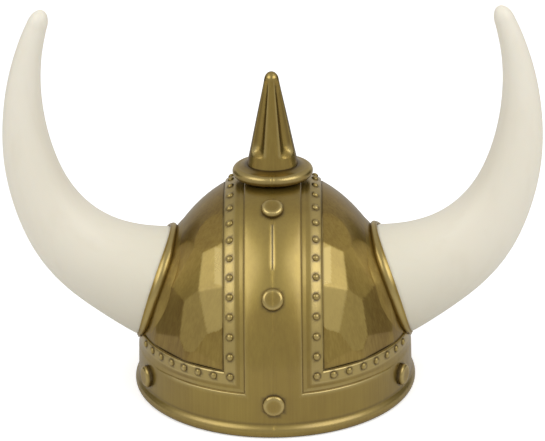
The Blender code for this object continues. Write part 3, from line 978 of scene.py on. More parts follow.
@dataclass
class Skull:
    """The bowl: a plain inner shell and the two hammered side panels that stand on it."""

    form: HammeredForm
    relief: BandRelief
    shell_outer: float = -2.05 * MM
    shell_inner: float = -3.0 * MM
    foot: float = 1.5 * MM
    crack: float = 0.75 * MM
    # How much wider the crack is along the brow.
    brow_crack: float = 1.4
    panel_wall: float = 0.9 * MM
    turns: int = 540
    rows: int = 130
    shell_turns: int = 160
    shell_rows: int = 44
    # Painted shade on the inner shell, seen through the cracks beside the bands.
    shell_dirt: float = 0.35
    shell_tone: float = 0.5

    def _dome_rings(self, offset: float) -> Array:
        """Return rings of the smooth dome moved out by an offset, from the apex down to the foot.

        Args:
            offset: How far out the rings lie.

        Returns:
            The rings' points.
        """
        height = self.form.dome.rows(self.shell_rows)
        azimuth = np.linspace(0.0, 2.0 * math.pi, self.shell_turns, endpoint=False)
        points = self.form.dome.at_height(azimuth[None, :], height[:, None])
        points = points + self.form.dome.normals(points) * offset
        points[0] = (0.0, 0.0, height[0] + offset)
        last = points[-1].copy()
        last[:, 2] = self.foot
        return np.concatenate([points, last[None]])

    def shell(self) -> Skin:
        """Build the plain closed shell that lines the bowl.

        Returns:
            Its skin.
        """
        rings = np.concatenate([self._dome_rings(self.shell_outer), self._dome_rings(self.shell_inner)[::-1]])
        count = rings[..., 0].size
        return Skin(
            rings.reshape(-1, 3),
            grid_faces(len(rings), self.shell_turns, wrap=True),
            {Mask.HOLLOW: np.full(count, self.shell_dirt), Mask.TONE: np.full(count, self.shell_tone)},
        )

    def panel(self, side: Side) -> bpy.types.Mesh:
        """Build one side's hammered panel, cut to the bands' outline and given its wall.

        Args:
            side: The wearer's side.

        Returns:
            The panel's mesh.
        """
        azimuth = np.linspace(0.0, math.pi, self.turns // 2 + 1) * side.value
        height = self.form.dome.rows(self.rows)
        smooth = self.form.dome.at_height(azimuth[None, :], height[:, None])
        points, tone = self.form.press(smooth)
        points[0] = points[0].mean(axis=0)
        masks = {Mask.TONE: tone.ravel(), Mask.HOLLOW: np.zeros(tone.size)}
        skin = Skin(points.reshape(-1, 3), grid_faces(len(height), len(azimuth), wrap=False), masks)
        mesh = skin.to_mesh(f"panel_{side.word}", sharp=60.0)
        cut_x = self.relief.band_half + self.relief.border + self.crack
        cut_z = self.relief.belt_height + self.relief.border + self.brow_crack * self.crack
        cuts = (
            (Vector((side.value * cut_x, 0.0, 0.0)), Vector((side.value, 0.0, 0.0))),
            (Vector((0.0, 0.0, cut_z)), Vector((0.0, 0.0, 1.0))),
        )
        with editing(mesh) as bm:
            for point, way in cuts:
                geometry = [*bm.verts, *bm.edges, *bm.faces]
                bmesh.ops.bisect_plane(bm, geom=geometry, plane_co=point, plane_no=way, clear_inner=True)
            bmesh.ops.remove_doubles(bm, verts=bm.verts, dist=0.02 * MM)
            out = Vector((side.value, 0.0, 0.3))
            bmesh.ops.recalc_face_normals(bm, faces=bm.faces)
            if sum(face.normal.dot(out) for face in bm.faces) < 0.0:
                bmesh.ops.reverse_faces(bm, faces=bm.faces)
        self._mark_panel(mesh, cut_x, cut_z)
        return walled(mesh, self.panel_wall)

    @staticmethod
    def _mark_panel(mesh: bpy.types.Mesh, cut_x: float, cut_z: float) -> None:
        """Paint shade along a panel's border, in the crack beside the bands.

        Args:
            mesh: The panel.
            cut_x: Distance of the border along the crest from the middle plane.
            cut_z: Height of the border along the brow.
        """
        points = np.empty(len(mesh.vertices) * 3)
        mesh.vertices.foreach_get("co", points)
        points = points.reshape(-1, 3)
        away = np.minimum(np.abs(points[:, 0]) - cut_x, points[:, 2] - cut_z)
        shade_paint = 0.6 * np.exp(-np.maximum(away, 0.0) / (0.8 * MM))
        mesh.attributes[Mask.HOLLOW.value].data.foreach_set("value", shade_paint.astype(np.float32))

    def build(self, gold: bpy.types.Material) -> bpy.types.Object:
        """Build the bowl in place of the CAD skull.

        Args:
            gold: Its finish.

        Returns:
            The piece.
        """
        whole = bpy.data.meshes.new("skull_bowl")
        with editing(whole) as bm:
            for mesh in (self.shell().to_mesh("shell"), *(self.panel(side) for side in Side)):
                bm.from_mesh(mesh)
        shade(whole, 50.0)
        return dress(add_piece("skull_bowl", whole, gold), "skull_gold", "skull_shell")


@dataclass
class BandWork:
    """Crest band and brow band as one moulded sheet: raised middle band, belt, riveted strips and rolled rim."""

    dome: DomeForm
    relief: BandRelief
    studs: Sequence[Place]
    rivets: Sequence[Place]
    crest_rows: int = 170
    side_step: float = 1.3
    crown: float = 0.5 * MM
    bead_middle: float = 99.5 * MM
    bead_reach: float = 3.5 * MM
    bead_rise: float = 4.4 * MM
    neck_height: float = 10.6 * MM
    # Height of the painted highlight along the rolled rim, and of the painted shade in the crease above it.
    bead_wear: float = 7.0 * MM
    neck_dirt: float = 10.3 * MM
    arch_from: float = 22.0 * MM
    arch_to: float = 34.0 * MM
    # How far the bright edges turn to painted shade over the top, and the angles from the top where that starts and is
    # full.
    dulled: Triple = (0.97, 66.0, 44.0)
    # Radius of a fastener's foot, spread of the painted shade round it.
    stud_foot: tuple[float, float] = (7.6 * MM, 1.5 * MM)
    rivet_foot: tuple[float, float] = (2.5 * MM, 1.15 * MM)
    # Insets between which the riveted strips are gritty and painted with sheen, as a rise and a fall.
    grit_rise: tuple[float, float] = (5.6 * MM, 6.8 * MM)
    grit_fall: tuple[float, float] = (13.4 * MM, 14.0 * MM)
    # Heights between which the crest is paler with a painted highlight, as a rise and a fall, and how much.
    pale_rise: tuple[float, float] = (92.0 * MM, 106.0 * MM)
    pale_fall: tuple[float, float] = (147.0 * MM, 139.0 * MM)
    pale_tone: float = -0.14
    # The parting line: distance from the middle plane, height; both in mm.
    line: tuple[tuple[float, float], ...] = ((0.0, -0.05), (0.35, 0.2), (0.8, 0.26), (1.3, 0.16), (1.9, 0.0))

    def _across(self) -> Array:
        """Lay out the columns across the crest.

        Returns:
            Their distances from the middle plane, from side to side.
        """
        edges = self.relief.band_half + self.relief.insets()
        middle = np.array([0.35, 0.8, 1.3, 1.9, 3.2, 6.0, 9.5]) * MM
        half = np.concatenate([middle, edges])
        return np.concatenate([-half[::-1], [0.0], half])

    def _levels(self) -> Array:
        """Lay out the brow's rows.

        Returns:
            Their heights, from the border's top edge down to the floor.
        """
        top = np.minimum(self.relief.belt_height + self.relief.insets()[::-1], self.dome.spring - 0.3 * MM)
        belt = np.array([23.0, 20.0, 17.0, 14.0, 12.0, 10.9, 10.1, 9.4]) * MM
        return np.concatenate([top, belt, self._bead()[:, 0]])

    def _bead(self) -> Array:
        """Lay out the rolled rim's section.

        Returns:
            A (height, half width) row for each step, from its top down to the floor.
        """
        turn = np.radians(np.linspace(58.0, -90.0, 14))
        height = self.bead_rise * (1.0 + np.sin(turn))
        return np.stack([height, self.bead_middle + self.bead_reach * np.cos(turn)], axis=-1)

    def _sharpness(self, azimuth: Array) -> Array:
        """Return how crisp the belt's edge is at each azimuth: 1 in front and behind, 0 at the sides."""
        turned = np.degrees(np.arccos(np.clip(np.abs(np.cos(azimuth)), 0.0, 1.0)))
        return 1.0 - smooth_step(self.relief.fade_from, self.relief.fade_to, turned)

    def _brow_offset(self, across: Array, height: Array, crisp: Array) -> Array:
        """Return how far the brow stands out from the plain wall.

        Args:
            across: Distance from the middle plane of each point's foot.
            height: Height of each point.
            crisp: How crisp the belt's edge is at each point's azimuth.

        Returns:
            The offset of each point.
        """
        inset = np.minimum(np.abs(across) - self.relief.band_half, height - self.relief.belt_height)
        relief = crisp * self.relief.read(inset, 1) + (1.0 - crisp) * self.relief.softened(inset)
        offset = relief * MM + self.relief.flared(self.dome, height)
        offset = offset + self._arch(across) * smooth_step(self.arch_from, self.arch_to, height)
        bead = self._bead()
        rim = np.interp(height, bead[::-1, 0], bead[::-1, 1]) - self.dome.half_width
        fillet = smooth_step(self.neck_height, bead[0, 0], height)
        neck = offset + (bead[0, 1] - self.dome.half_width - offset) * fillet**2
        return np.where(height < self.neck_height, np.where(height > bead[0, 0], neck, rim), offset)

    def _crest(self) -> Layers:
        """Build the crest, as rows from front to back.

        Returns:
            Its outer and inner points, edge wear, dirt and grit.
        """
        across = self._across()
        angle = np.linspace(math.pi / 2.0, -math.pi / 2.0, self.crest_rows)
        base = self.dome.across_crest(across[None, :], angle[:, None])
        normal = self.dome.normals(base)
        inset = np.abs(across) - self.relief.band_half
        height = base[:, len(across) // 2, 2][:, None]
        (bottom, top), (rising, falling) = CLEAR_LINE, CLEAR_FADE
        clear = smooth_step(bottom, bottom + rising, height) * smooth_step(top, top - falling, height)
        line = np.interp(np.abs(across) / MM, *np.transpose(self.line)) * MM
        rise = (self.relief.read(inset, 1) * MM + self._arch(across))[None, :] + line[None, :] * clear
        # Over the top the bright edges give way to painted shade.
        most, start, full = self.dulled
        dull = most * smooth_step(math.radians(start), math.radians(full), np.abs(angle))[:, None]
        edge = 0.7 * self.relief.read(inset, 2)[None, :] * (1.0 - dull)
        hollow = np.maximum(self.relief.read(inset, 3), 0.6 * self.relief.read(inset, 2) * dull)
        grit = np.repeat(self._grit(inset)[None, :], self.crest_rows, axis=0)
        return base + normal * rise[..., None], base + normal * self.relief.underside, edge, hollow, grit

    def _arch(self, across: Array) -> Array:
        """Return how far the middle band arches out at distances from the middle plane."""
        return self.crown * np.clip(1.0 - (across / self.relief.band_half) ** 2, 0.0, 1.0)

    def _grit(self, inset: Array) -> Array:
        """Return how gritty the surface is and how much sheen is painted on it at each inset: the riveted strips only.
        """
        return smooth_step(*self.grit_rise, inset) * (1.0 - smooth_step(*self.grit_fall, inset))

    def _brow(self) -> Layers:
        """Build the brow, as rows from the border down to the floor.

        Returns:
            Its outer and inner points, edge wear, dirt and grit.
        """
        belt = self.relief.belt_height
        front = np.degrees(np.arcsin(self._across() / self.dome.half_width))
        start = front[-1]
        count = round((180.0 - 2.0 * start) / self.side_step)
        side = np.linspace(start, 180.0 - start, count + 1)[1:-1]
        azimuth = np.radians(np.concatenate([front, side, 180.0 + front, 180.0 + side]))
        height = self._levels()[:, None]
        foot = self.dome.at_height(azimuth, np.full(azimuth.shape, self.dome.spring))
        normal = self.dome.normals(foot)
        feet = np.abs(foot[:, 0])[None, :]
        crisp = self._sharpness(azimuth)[None, :]
        offset = self._brow_offset(feet, height, crisp)
        level = np.broadcast_to(foot, (len(height), *foot.shape)).copy()
        level[..., 2] = height
        inset = np.minimum(feet - self.relief.band_half, height - belt)
        step = np.where(inset < 5.0 * MM, crisp, 0.5 + 0.5 * crisp)
        along_belt = height - belt < feet - self.relief.band_half
        # Edge wear with painted highlight, strongest along the belt's top edge.
        edge = self.relief.read(inset, 2) * step * np.where(along_belt, 1.8, 0.7)
        hollow = self.relief.read(inset, 3) * step
        # Painted shade, darker towards the bottom of the belt.
        hollow = np.maximum(hollow, 0.15 * smooth_step(belt + 8.0 * MM, belt - 6.0 * MM, height))
        # A painted highlight along the rolled rim and painted shade in the crease above it.
        edge = np.maximum(edge, 0.45 * bell(height, self.bead_wear, 2.2 * MM))
        hollow = np.maximum(hollow, 0.5 * bell(height, self.neck_dirt, 1.1 * MM))
        outer = level + normal[None] * offset[..., None]
        return outer, level + normal[None] * self.relief.underside, edge, hollow, self._grit(inset)

    def _foot_dirt(self, points: Array) -> Array:
        """Paint the shade round the foot of each stud and rivet.

        Args:
            points: Points of the bands.

        Returns:
            The painted shade at each point.
        """
        shade_paint = np.zeros(len(points))
        for places, (radius, spread) in ((self.studs, self.stud_foot), (self.rivets, self.rivet_foot)):
            for place, _ in places:
                near = np.flatnonzero(np.abs(points - place).max(axis=-1) < radius + 4.0 * spread)
                away = np.linalg.norm(points[near] - place, axis=-1)
                shade_paint[near] = np.maximum(shade_paint[near], 0.85 * bell(np.maximum(away - radius, 0.0), 0.0, spread))
        return shade_paint

    def sheet(self) -> Skin:
        """Join crest and brow to one sheet and close it between its outer and its inner points.

        Returns:
            The closed skin.
        """
        crest = self._crest()
        brow = self._brow()
        rows, columns = crest[2].shape
        levels, stations = brow[2].shape
        outer, inner, edge, hollow, grit = (
            np.concatenate([top.reshape(-1, *top.shape[2:]), low.reshape(-1, *low.shape[2:])])
            for top, low in zip(crest, brow)
        )
        first = rows * columns
        faces = grid_faces(rows, columns, wrap=False)
        faces += [tuple(i + first for i in face) for face in grid_faces(levels, stations, wrap=True)]
        back = columns + (stations - 2 * columns) // 2
        last = (rows - 1) * columns
        for c in range(columns - 1):
            faces.append((c + 1, c, first + c, first + c + 1))
            # Seen from the back the crest's columns run the other way round.
            faces.append((last + c, last + c + 1, first + back + columns - 2 - c, first + back + columns - 1 - c))
        height = outer[:, 2]
        # A painted highlight that makes the crest paler at its middle heights.
        pale = smooth_step(*self.pale_rise, height) * smooth_step(*self.pale_fall, height)
        hollow = np.maximum(hollow, self._foot_dirt(outer))
        inside = np.zeros(len(outer))
        masks = {
            Mask.EDGE: np.concatenate([edge, inside]),
            # The inner faces carry painted shade.
            Mask.HOLLOW: np.concatenate([hollow, inside + 0.6]),
            Mask.GRIT: np.concatenate([grit, inside]),
            Mask.TONE: np.concatenate([self.pale_tone * pale, inside]),
        }
        return Skin(np.vstack([outer, inner]), self._closed(faces, len(outer)), masks)

    @staticmethod
    def _closed(faces: list[tuple[int, ...]], shift: int) -> list[tuple[int, ...]]:
        """Close a sheet of faces with its inner faces and a rim.

        Args:
            faces: Faces of the outer side.
            shift: How much higher the inner points are numbered.

        Returns:
            All faces of the closed sheet.
        """
        count: dict[tuple[int, int], int] = {}
        for face in faces:
            for a, b in zip(face, face[1:] + face[:1]):
                key = (min(a, b), max(a, b))
                count[key] = count.get(key, 0) + 1
        inner = [tuple(index + shift for index in reversed(face)) for face in faces]
        rim = [(a, b, b + shift, a + shift) for (a, b), uses in count.items() if uses == 1]
        return [*faces, *inner, *rim]

    def build(self, gold: bpy.types.Material) -> bpy.types.Object:
        """Build both bands in place of the CAD bands.

        Args:
            gold: Their finish.

        Returns:
            The piece.
        """
        mesh = self.sheet().to_mesh("crest_and_brow", sharp=55.0)
        return dress(add_piece("crest_and_brow", mesh, gold), "band_gold", "crest_band", "brow_band")


class FormTree:
    """A Geometry Nodes tree that turns a carrier into a finished mesh."""

    def __init__(self, name: str, inputs: dict[str, str]) -> None:
        """Start the tree.

        Args:
            name: Its name.
            inputs: Type of each named input besides the geometry and the finish.
        """
        self.tree = bpy.data.node_groups.new(name, "GeometryNodeTree")
        for label, kind in {"Geometry": "Geometry", **inputs, "Finish": "Material"}.items():
            self.tree.interface.new_socket(label, in_out="INPUT", socket_type=f"NodeSocket{kind}")
        self.tree.interface.new_socket("Geometry", in_out="OUTPUT", socket_type="NodeSocketGeometry")
        self.sheet = NodeSheet(self.tree)
        self.given = self.sheet.add("NodeGroupInput").outputs

    def end(self, geometry: bpy.types.NodeSocket) -> None:
        """Make the geometry real, set its finish and put it out.

        Args:
            geometry: The geometry to put out.
        """
        real = self.sheet.add("GeometryNodeRealizeInstances", {"Geometry": geometry}).outputs["Geometry"]
        painted = self.sheet.add("GeometryNodeSetMaterial", {"Geometry": real, "Material": self.given["Finish"]})
        self.sheet.add("NodeGroupOutput", {"Geometry": painted.outputs["Geometry"]})

    def apply(self, carrier: bpy.types.Object, values: dict[str, object]) -> bpy.types.Mesh:
        """Run the tree on a carrier, which goes.

        Args:
            carrier: The object that holds the points.
            values: What the named inputs get.

        Returns:
            The plain mesh.
        """
        modifier = carrier.modifiers.new(self.tree.name, "NODES")
        modifier.node_group = self.tree
        for item in self.tree.interface.items_tree:
            if item.in_out == "INPUT" and item.name in values:
                modifier[item.identifier] = values[item.name]
        return settle(carrier)


class FastenerTree(FormTree):
    """Sets one fastener on every point, turned to face the way the point says."""

    SEED = 7

    def __init__(self) -> None:
        """Build the tree."""
        super().__init__("set_fasteners", {"Fastener": "Object", "Size Spread": "Float", "Seed": "Int"})
        add = self.sheet.add
        given = self.given
        facing = add("GeometryNodeInputNamedAttribute", {"Name": "facing"}, data_type="FLOAT_VECTOR")
        turn = add("FunctionNodeAlignRotationToVector", {"Vector": facing.outputs["Attribute"]}, axis="Z")
        master = add("GeometryNodeObjectInfo", {"Object": given["Fastener"]})
        least = self.sheet.minus(1.0, given["Size Spread"])
        largest = self.sheet.math("ADD", 1.0, given["Size Spread"])
        size = add("FunctionNodeRandomValue", {2: least, 3: largest, "Seed": given["Seed"]}, data_type="FLOAT")
        inputs = {
            "Points": given["Geometry"],
            "Instance": master.outputs["Geometry"],
            "Rotation": turn.outputs["Rotation"],
            "Scale": size.outputs[1],
        }
        self.end(add("GeometryNodeInstanceOnPoints", inputs).outputs["Instances"])

    def run(
        self,
        name: str,
        places: Sequence[Place],
        fastener: Skin,
        finish: bpy.types.Material,
        spread: float = 0.0,
    ) -> bpy.types.Object:
        """Set a fastener on every place and return the plain result.

        Args:
            name: The piece's name.
            places: Point and unit normal of each fastener.
            fastener: The fastener's skin, standing on the origin along +Z.
            finish: Its material.
            spread: How much its size varies.

        Returns:
            The piece.
        """
        master = add_piece(f"{name}_master", fastener.to_mesh(f"{name}_master"), finish)
        points = bpy.data.meshes.new(name)
        points.from_pydata([tuple(point) for point, _ in places], [], [])
        facing = points.attributes.new("facing", "FLOAT_VECTOR", "POINT")
        facing.data.foreach_set("vector", np.array([normal for _, normal in places], dtype=np.float32).ravel())
        values = {"Fastener": master, "Size Spread": spread, "Seed": self.SEED, "Finish": finish}
        mesh = self.apply(add_piece(f"{name}_points", points, None), values)
        bpy.data.objects.remove(master, do_unlink=True)
        return add_piece(name, mesh, finish)


@dataclass
class Fasteners:
    """Small rivets on the strips and large studs on the crest and the belt."""

    dome: DomeForm
    relief: BandRelief
    nodes: Sequence[str]
    strip_x: float = 29.8 * MM
    corner_height: float = 43.9 * MM
    strip_count: int = 12
    path_steps: int = 720
    brow_count: int = 8
    brow_step: float = 7.3
    brow_height: float = 43.0 * MM
    rivet_seat: float = 1.3 * MM
    rivet_radius: float = 2.6 * MM
    rivet_height: float = 1.9 * MM
    rivet_spread: float = 0.03
    rivet_steps: int = 16
    stud_seat: float = 1.9 * MM
    stud_radius: float = 7.8 * MM
    stud_height: float = 2.9 * MM
    stud_steps: int = 48
    shoulder: float = 3.0 * MM
    side_lift: float = 1.4 * MM
    crest_lift: float = 1.7 * MM

    def strip_places(self) -> list[Place]:
        """Space the crest's rivets evenly along both strips.

        Returns:
            Their points and normals.
        """
        angle = np.linspace(math.pi / 2.0, 0.0, self.path_steps + 1)
        path = self.dome.across_crest(np.full(angle.shape, self.strip_x), angle)
        stride = np.linalg.norm(np.diff(path, axis=0), axis=1)
        run = np.concatenate([[0.0], np.cumsum(stride)]) + self.dome.spring - self.corner_height
        pitch = run[-1] / (self.strip_count - 0.5)
        places = []
        for number in range(1, self.strip_count):
            at = float(np.interp(number * pitch, run, angle))
            for side in Side:
                for end in (1.0, -1.0):
                    foot = self.dome.across_crest(np.array(side.value * self.strip_x), np.array(end * at))
                    places.append(self._raised(foot, self.rivet_seat))
        return places

    def brow_places(self) -> list[Place]:
        """Space the brow's rivets from each strip's corner towards the collars.

        Returns:
            Their points and normals.
        """
        corner = math.degrees(math.asin(self.strip_x / self.dome.half_width))
        places = []
        for number in range(self.brow_count):
            azimuth = corner + number * self.brow_step
            height = self.corner_height if number == 0 else self.brow_height
            for turned in (azimuth, 180.0 - azimuth, 180.0 + azimuth, -azimuth):
                places.append(self._on_wall(turned, height, self.rivet_seat))
        return places

    def rivet_places(self) -> list[Place]:
        """Return the points and normals of all the rivets."""
        return self.strip_places() + self.brow_places()

    def stud_places(self) -> dict[str, Place]:
        """Read each large stud's place from its CAD node.

        Returns:
            The point and the normal of each node's stud.
        """
        places = {}
        for name in self.nodes:
            low, high = (np.array(corner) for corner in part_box(name))
            middle = (low + high) / 2.0
            if name.startswith("stud_crest"):
                angle = math.atan2(-middle[1], middle[2] - self.dome.spring)
                foot = self.dome.across_crest(np.array(0.0), np.array(angle))
                places[name] = self._raised(foot, self.stud_seat + self.crest_lift)
            else:
                azimuth = math.atan2(middle[0], -middle[1] / self.dome.oval)
                lift = self.side_lift * (abs(math.sin(azimuth)) > 0.1)
                places[name] = self._on_wall(math.degrees(azimuth), float(middle[2]), self.stud_seat + lift)
        return places

    def _raised(self, foot: Array, offset: float) -> Place:
        """Return a point over the dome and its normal."""
        normal = self.dome.normals(foot)
        return foot + normal * offset, normal

    def _on_wall(self, azimuth: float, height: float, offset: float) -> Place:
        """Return a point over the upright wall and its normal.

        Args:
            azimuth: Angle in degrees from the front.
            height: Height in metres.
            offset: Relief under the fastener.

        Returns:
            The point and the normal.
        """
        foot = self.dome.at_height(np.array(math.radians(azimuth)), np.array(self.dome.spring))
        point, normal = self._raised(foot, offset + self.relief.flared(self.dome, height))
        point[2] = height
        return point, normal

    def rivet(self) -> Skin:
        """Turn one small round-headed rivet.

        Returns:
            Its skin.
        """
        turn = np.radians(np.array([90.0, 66.0, 42.0, 20.0, 3.0]))
        head = np.stack([self.rivet_radius * np.cos(turn), self.rivet_height * np.sin(turn)], axis=-1)
        profile = np.vstack([head, [self.rivet_radius, -0.5 * MM], [0.0, -0.5 * MM]])
        profile[0, 0] = 0.0
        # Edge wear and painted highlight on the head, painted shade round the foot.
        edge = np.array([0.9, 0.7, 0.35, 0.1, 0.0, 0.0, 0.0])
        shade_paint = np.array([0.0, 0.0, 0.1, 0.4, 0.85, 1.0, 1.0])
        return turned_skin(profile, self.rivet_steps, edge, shade_paint)

    def stud(self) -> Skin:
        """Turn one large stud: a flat face, a rounded shoulder and a short wall.

        Returns:
            Its skin.
        """
        turn = np.radians(np.linspace(90.0, 12.0, 9))
        radius = self.stud_radius - self.shoulder * (1.0 - np.cos(turn))
        height = self.stud_height - self.shoulder * 0.85 * (1.0 - np.sin(turn))
        face = [[0.0, self.stud_height - 0.06 * MM], [0.45 * self.stud_radius, self.stud_height - 0.04 * MM]]
        foot = self.stud_radius + 0.1 * MM
        wall = [[foot, 0.1 * MM], [foot, -2.2 * MM], [0.0, -2.2 * MM]]
        profile = np.vstack([face, np.stack([radius, height], axis=-1), wall])
        row = np.arange(9)
        # Edge wear and painted highlight round the shoulder, painted shade down the wall.
        edge = [0.0, 0.05, *np.interp(row, [0, 2, 4, 6, 8], [0.3, 0.9, 1.0, 0.5, 0.0]), 0.0, 0.0, 0.0]
        shade_paint = [0.0, 0.0, *np.interp(row, [0, 6, 8], [0.0, 0.0, 0.4]), 0.9, 1.0, 1.0]
        return turned_skin(profile, self.stud_steps, np.array(edge), np.array(shade_paint))

    def build(self, band: bpy.types.Material, bright: bpy.types.Material) -> list[bpy.types.Object]:
        """Build rivets and studs.

        Args:
            band: The rivets' finish.
            bright: The studs' finish.

        Returns:
            Both pieces.
        """
        tree = FastenerTree()
        rivets = tree.run("small_rivets", self.rivet_places(), self.rivet(), band, self.rivet_spread)
        places = self.stud_places()
        studs = tree.run("large_studs", list(places.values()), self.stud(), bright)
        return [dress(rivets, "band_gold"), dress(studs, "bright_gold", *places)]


@dataclass
class Socket:
    """One horn's collar: a ring that grows out of the bowl and rounds over round the horn."""

    form: HammeredForm
    side: Side
    face: Triple = (88.3 * MM, 0.0, 77.7 * MM)
    lift: float = 17.9
    radius: float = 43.2 * MM
    bore: float = 41.1 * MM
    band: float = 4.6 * MM
    band_crown: float = 2.4 * MM
    saddle: float = 2.3 * MM
    sink: float = 0.5 * MM
    pinch: float = 1.3 * MM
    blend: float = 6.0 * MM
    edge_round: float = 0.9 * MM
    border: float = 1.5 * MM
    # The ring's foot is found by halving a way this long this many times.
    deepest: float = 22.0 * MM
    halvings: int = 30
    steps: int = 180
    # Share of the band's width, swell in mm, edge wear with painted highlight, painted shade.
    swell: tuple[tuple[float, float, float, float], ...] = (
        (0.1, 0.5, 0.5, 0.0),
        (0.22, 0.9, 0.75, 0.0),
        (0.36, 1.15, 0.8, 0.0),
        (0.5, 1.2, 0.65, 0.0),
        (0.64, 1.1, 0.4, 0.0),
        (0.78, 0.8, 0.2, 0.0),
        (0.9, 0.35, 0.0, 0.2),
        (1.0, -0.1, 0.0, 0.5),
    )

    def axis(self) -> Array:
        """Return the outward axis."""
        lift = math.radians(self.lift)
        return np.array([self.side.value * math.cos(lift), 0.0, math.sin(lift)])

    def spokes(self) -> Array:
        """Point spokes from the axis to the ring's points.

        Returns:
            Their unit directions.
        """
        lift = math.radians(self.lift)
        above = np.array([-self.side.value * math.sin(lift), 0.0, math.cos(lift)])
        turn = np.linspace(0.0, 2.0 * math.pi, self.steps, endpoint=False)[:, None]
        return np.cos(turn) * above + np.sin(turn) * np.array([0.0, 1.0, 0.0])

    def centre(self) -> Array:
        """Return the middle of the collar's face."""
        return np.array(self.face) * np.array([self.side.value, 1.0, 1.0])

    def seat(self, radius: Array) -> Array:
        """Return how deep each spoke's end lies under the face where it meets the bowl.

        Args:
            radius: Length of each spoke.

        Returns:
            The depth at each spoke.
        """
        near = np.zeros(self.steps)
        far = np.full(self.steps, self.deepest)
        start = self.centre() + self.spokes() * radius[:, None]
        for _ in range(self.halvings):
            middle = (near + far) / 2.0
            points = start - self.axis() * middle[:, None]
            low = points[:, 2] < self.form.dome.spring
            inside = np.where(low, self.form.dome.inside(points, self.border), self.form.inside(points))
            near = np.where(inside, near, middle)
            far = np.where(inside, middle, far)
        return near

    def profile(self) -> list[tuple[Array | float, Array | float, float, float, float]]:
        """Lay out the ring's closed section, from the bore over the rolled edge down into the bowl.

        Returns:
            Each row's radius, depth under the face, edge wear with painted highlight, painted shade and the painted
            light-and-shade tone; lengths may differ from spoke to spoke.
        """
        spokes = self.spokes()
        upright = spokes[:, 2] / math.cos(math.radians(self.lift))
        reach = self.blend * smooth_step(-0.85, -0.4, upright)
        outside = self.radius - self.pinch * smooth_step(0.3, 1.0, -upright)
        deep = self.seat(outside)
        deeper = self.seat(outside + reach)
        top = np.maximum(upright, 0.0)
        lift = self.saddle * spokes[:, 1] ** 2 * (1.0 + 0.25 * upright) - self.sink * top
        width = np.minimum(self.band + self.band_crown * top, 0.88 * deep)
        bore = self.bore - 0.2 * lift
        middle = (outside + bore) / 2.0
        half = (outside - bore) / 2.0
        start = self.edge_round - lift
        # The bore and the rolled lip: edge wear and painted highlight over the lip's crown, painted shade in the bore.
        rows = [(bore, 4.0 * MM, 0.0, 1.0, 0.2)]
        for turn in np.radians(np.linspace(178.0, 0.0, 11)):
            risen = math.sin(turn)
            shade_paint = 0.8 if turn > 3.0 else 0.0
            rows.append((middle + half * math.cos(turn), start - self.edge_round * risen, 0.7 * risen**2, shade_paint, 0.1))
        for share, swell, edge, shade_paint in self.swell:
            rows.append((outside + swell * MM, start + share * (width - start), edge, shade_paint, 0.1))
        # The chamfer into the bowl: painted shade fading out and a darker painted tone towards the bowl.
        for share in (0.04, 0.25, 0.5, 0.75, 0.9, 1.0):
            depth = width + (0.85 * share + 0.15 * share**2) * (deeper - width)
            rows.append((outside + share * reach, depth, 0.0, 0.4 * (1.0 - share) ** 4, 0.2 + 0.3 * share))
        # The hidden inside rows carry full painted shade.
        rows.append((outside + reach, deeper + 1.2 * MM, 0.0, 1.0, 0.5))
        rows.append((self.bore, deep + 1.6 * MM, 0.0, 1.0, 0.5))
        return [*rows, rows[0]]

    def build(self, gold: bpy.types.Material) -> bpy.types.Object:
        """Build the collar in place of its CAD node.

        Args:
            gold: Its finish.

        Returns:
            The piece.
        """
        rows = self.profile()
        every = (self.steps, 1)
        rings = [
            self.centre()
            + self.spokes() * np.broadcast_to(np.reshape(radius, (-1, 1)), every)
            - self.axis() * np.broadcast_to(np.reshape(depth, (-1, 1)), every)
            for radius, depth, *_ in rows
        ]
        masks = {
            mask: np.repeat([row[column] for row in rows], self.steps)
            for mask, column in ((Mask.EDGE, 2), (Mask.HOLLOW, 3), (Mask.TONE, 4))
        }
        skin = Skin(np.concatenate(rings), grid_faces(len(rings), self.steps, wrap=True), masks)
        name = f"collar_ring_{self.side.word}"
        collar = add_piece(name, skin.to_mesh(name, sharp=35.0), gold)
        return dress(collar, "band_gold", f"collar_{self.side.word}")


class HornTree(FormTree):
    """Sweeps a round horn along its centreline."""

    def __init__(self) -> None:
        """Build the tree."""
        super().__init__("sweep_horn", {"Sides": "Int"})
        add = self.sheet.add
        route = add("GeometryNodeMeshToCurve", {"Mesh": self.given["Geometry"]})
        girth = add("GeometryNodeInputNamedAttribute", {"Name": "girth"}, data_type="FLOAT")
        ring = add("GeometryNodeCurvePrimitiveCircle", {"Resolution": self.given["Sides"], "Radius": 1.0})
        inputs = {
            "Curve": route.outputs["Curve"],
            "Profile Curve": ring.outputs["Curve"],
            "Scale": girth.outputs["Attribute"],
            "Fill Caps": True,
        }
        self.end(add("GeometryNodeCurveToMesh", inputs).outputs["Mesh"])

    def run(
        self, name: str, rows: tuple[Array, Array, Array], sides: int, finish: bpy.types.Material
    ) -> bpy.types.Mesh:
        """Sweep one horn.

        Args:
            name: The mesh's name.
            rows: Point, radius and share of the length of each row.
            sides: Points round the horn.
            finish: Its material.

        Returns:
            The swept mesh.
        """
        route, girth, along = rows
        line = bpy.data.meshes.new(name)
        line.from_pydata(route.tolist(), [(i, i + 1) for i in range(len(route) - 1)], [])
        for label, values in (("girth", girth), (Mask.ALONG.value, along)):
            layer = line.attributes.new(label, "FLOAT", "POINT")
            layer.data.foreach_set("value", values.astype(np.float32))
        return self.apply(add_piece(f"{name}_line", line, None), {"Sides": sides, "Finish": finish})


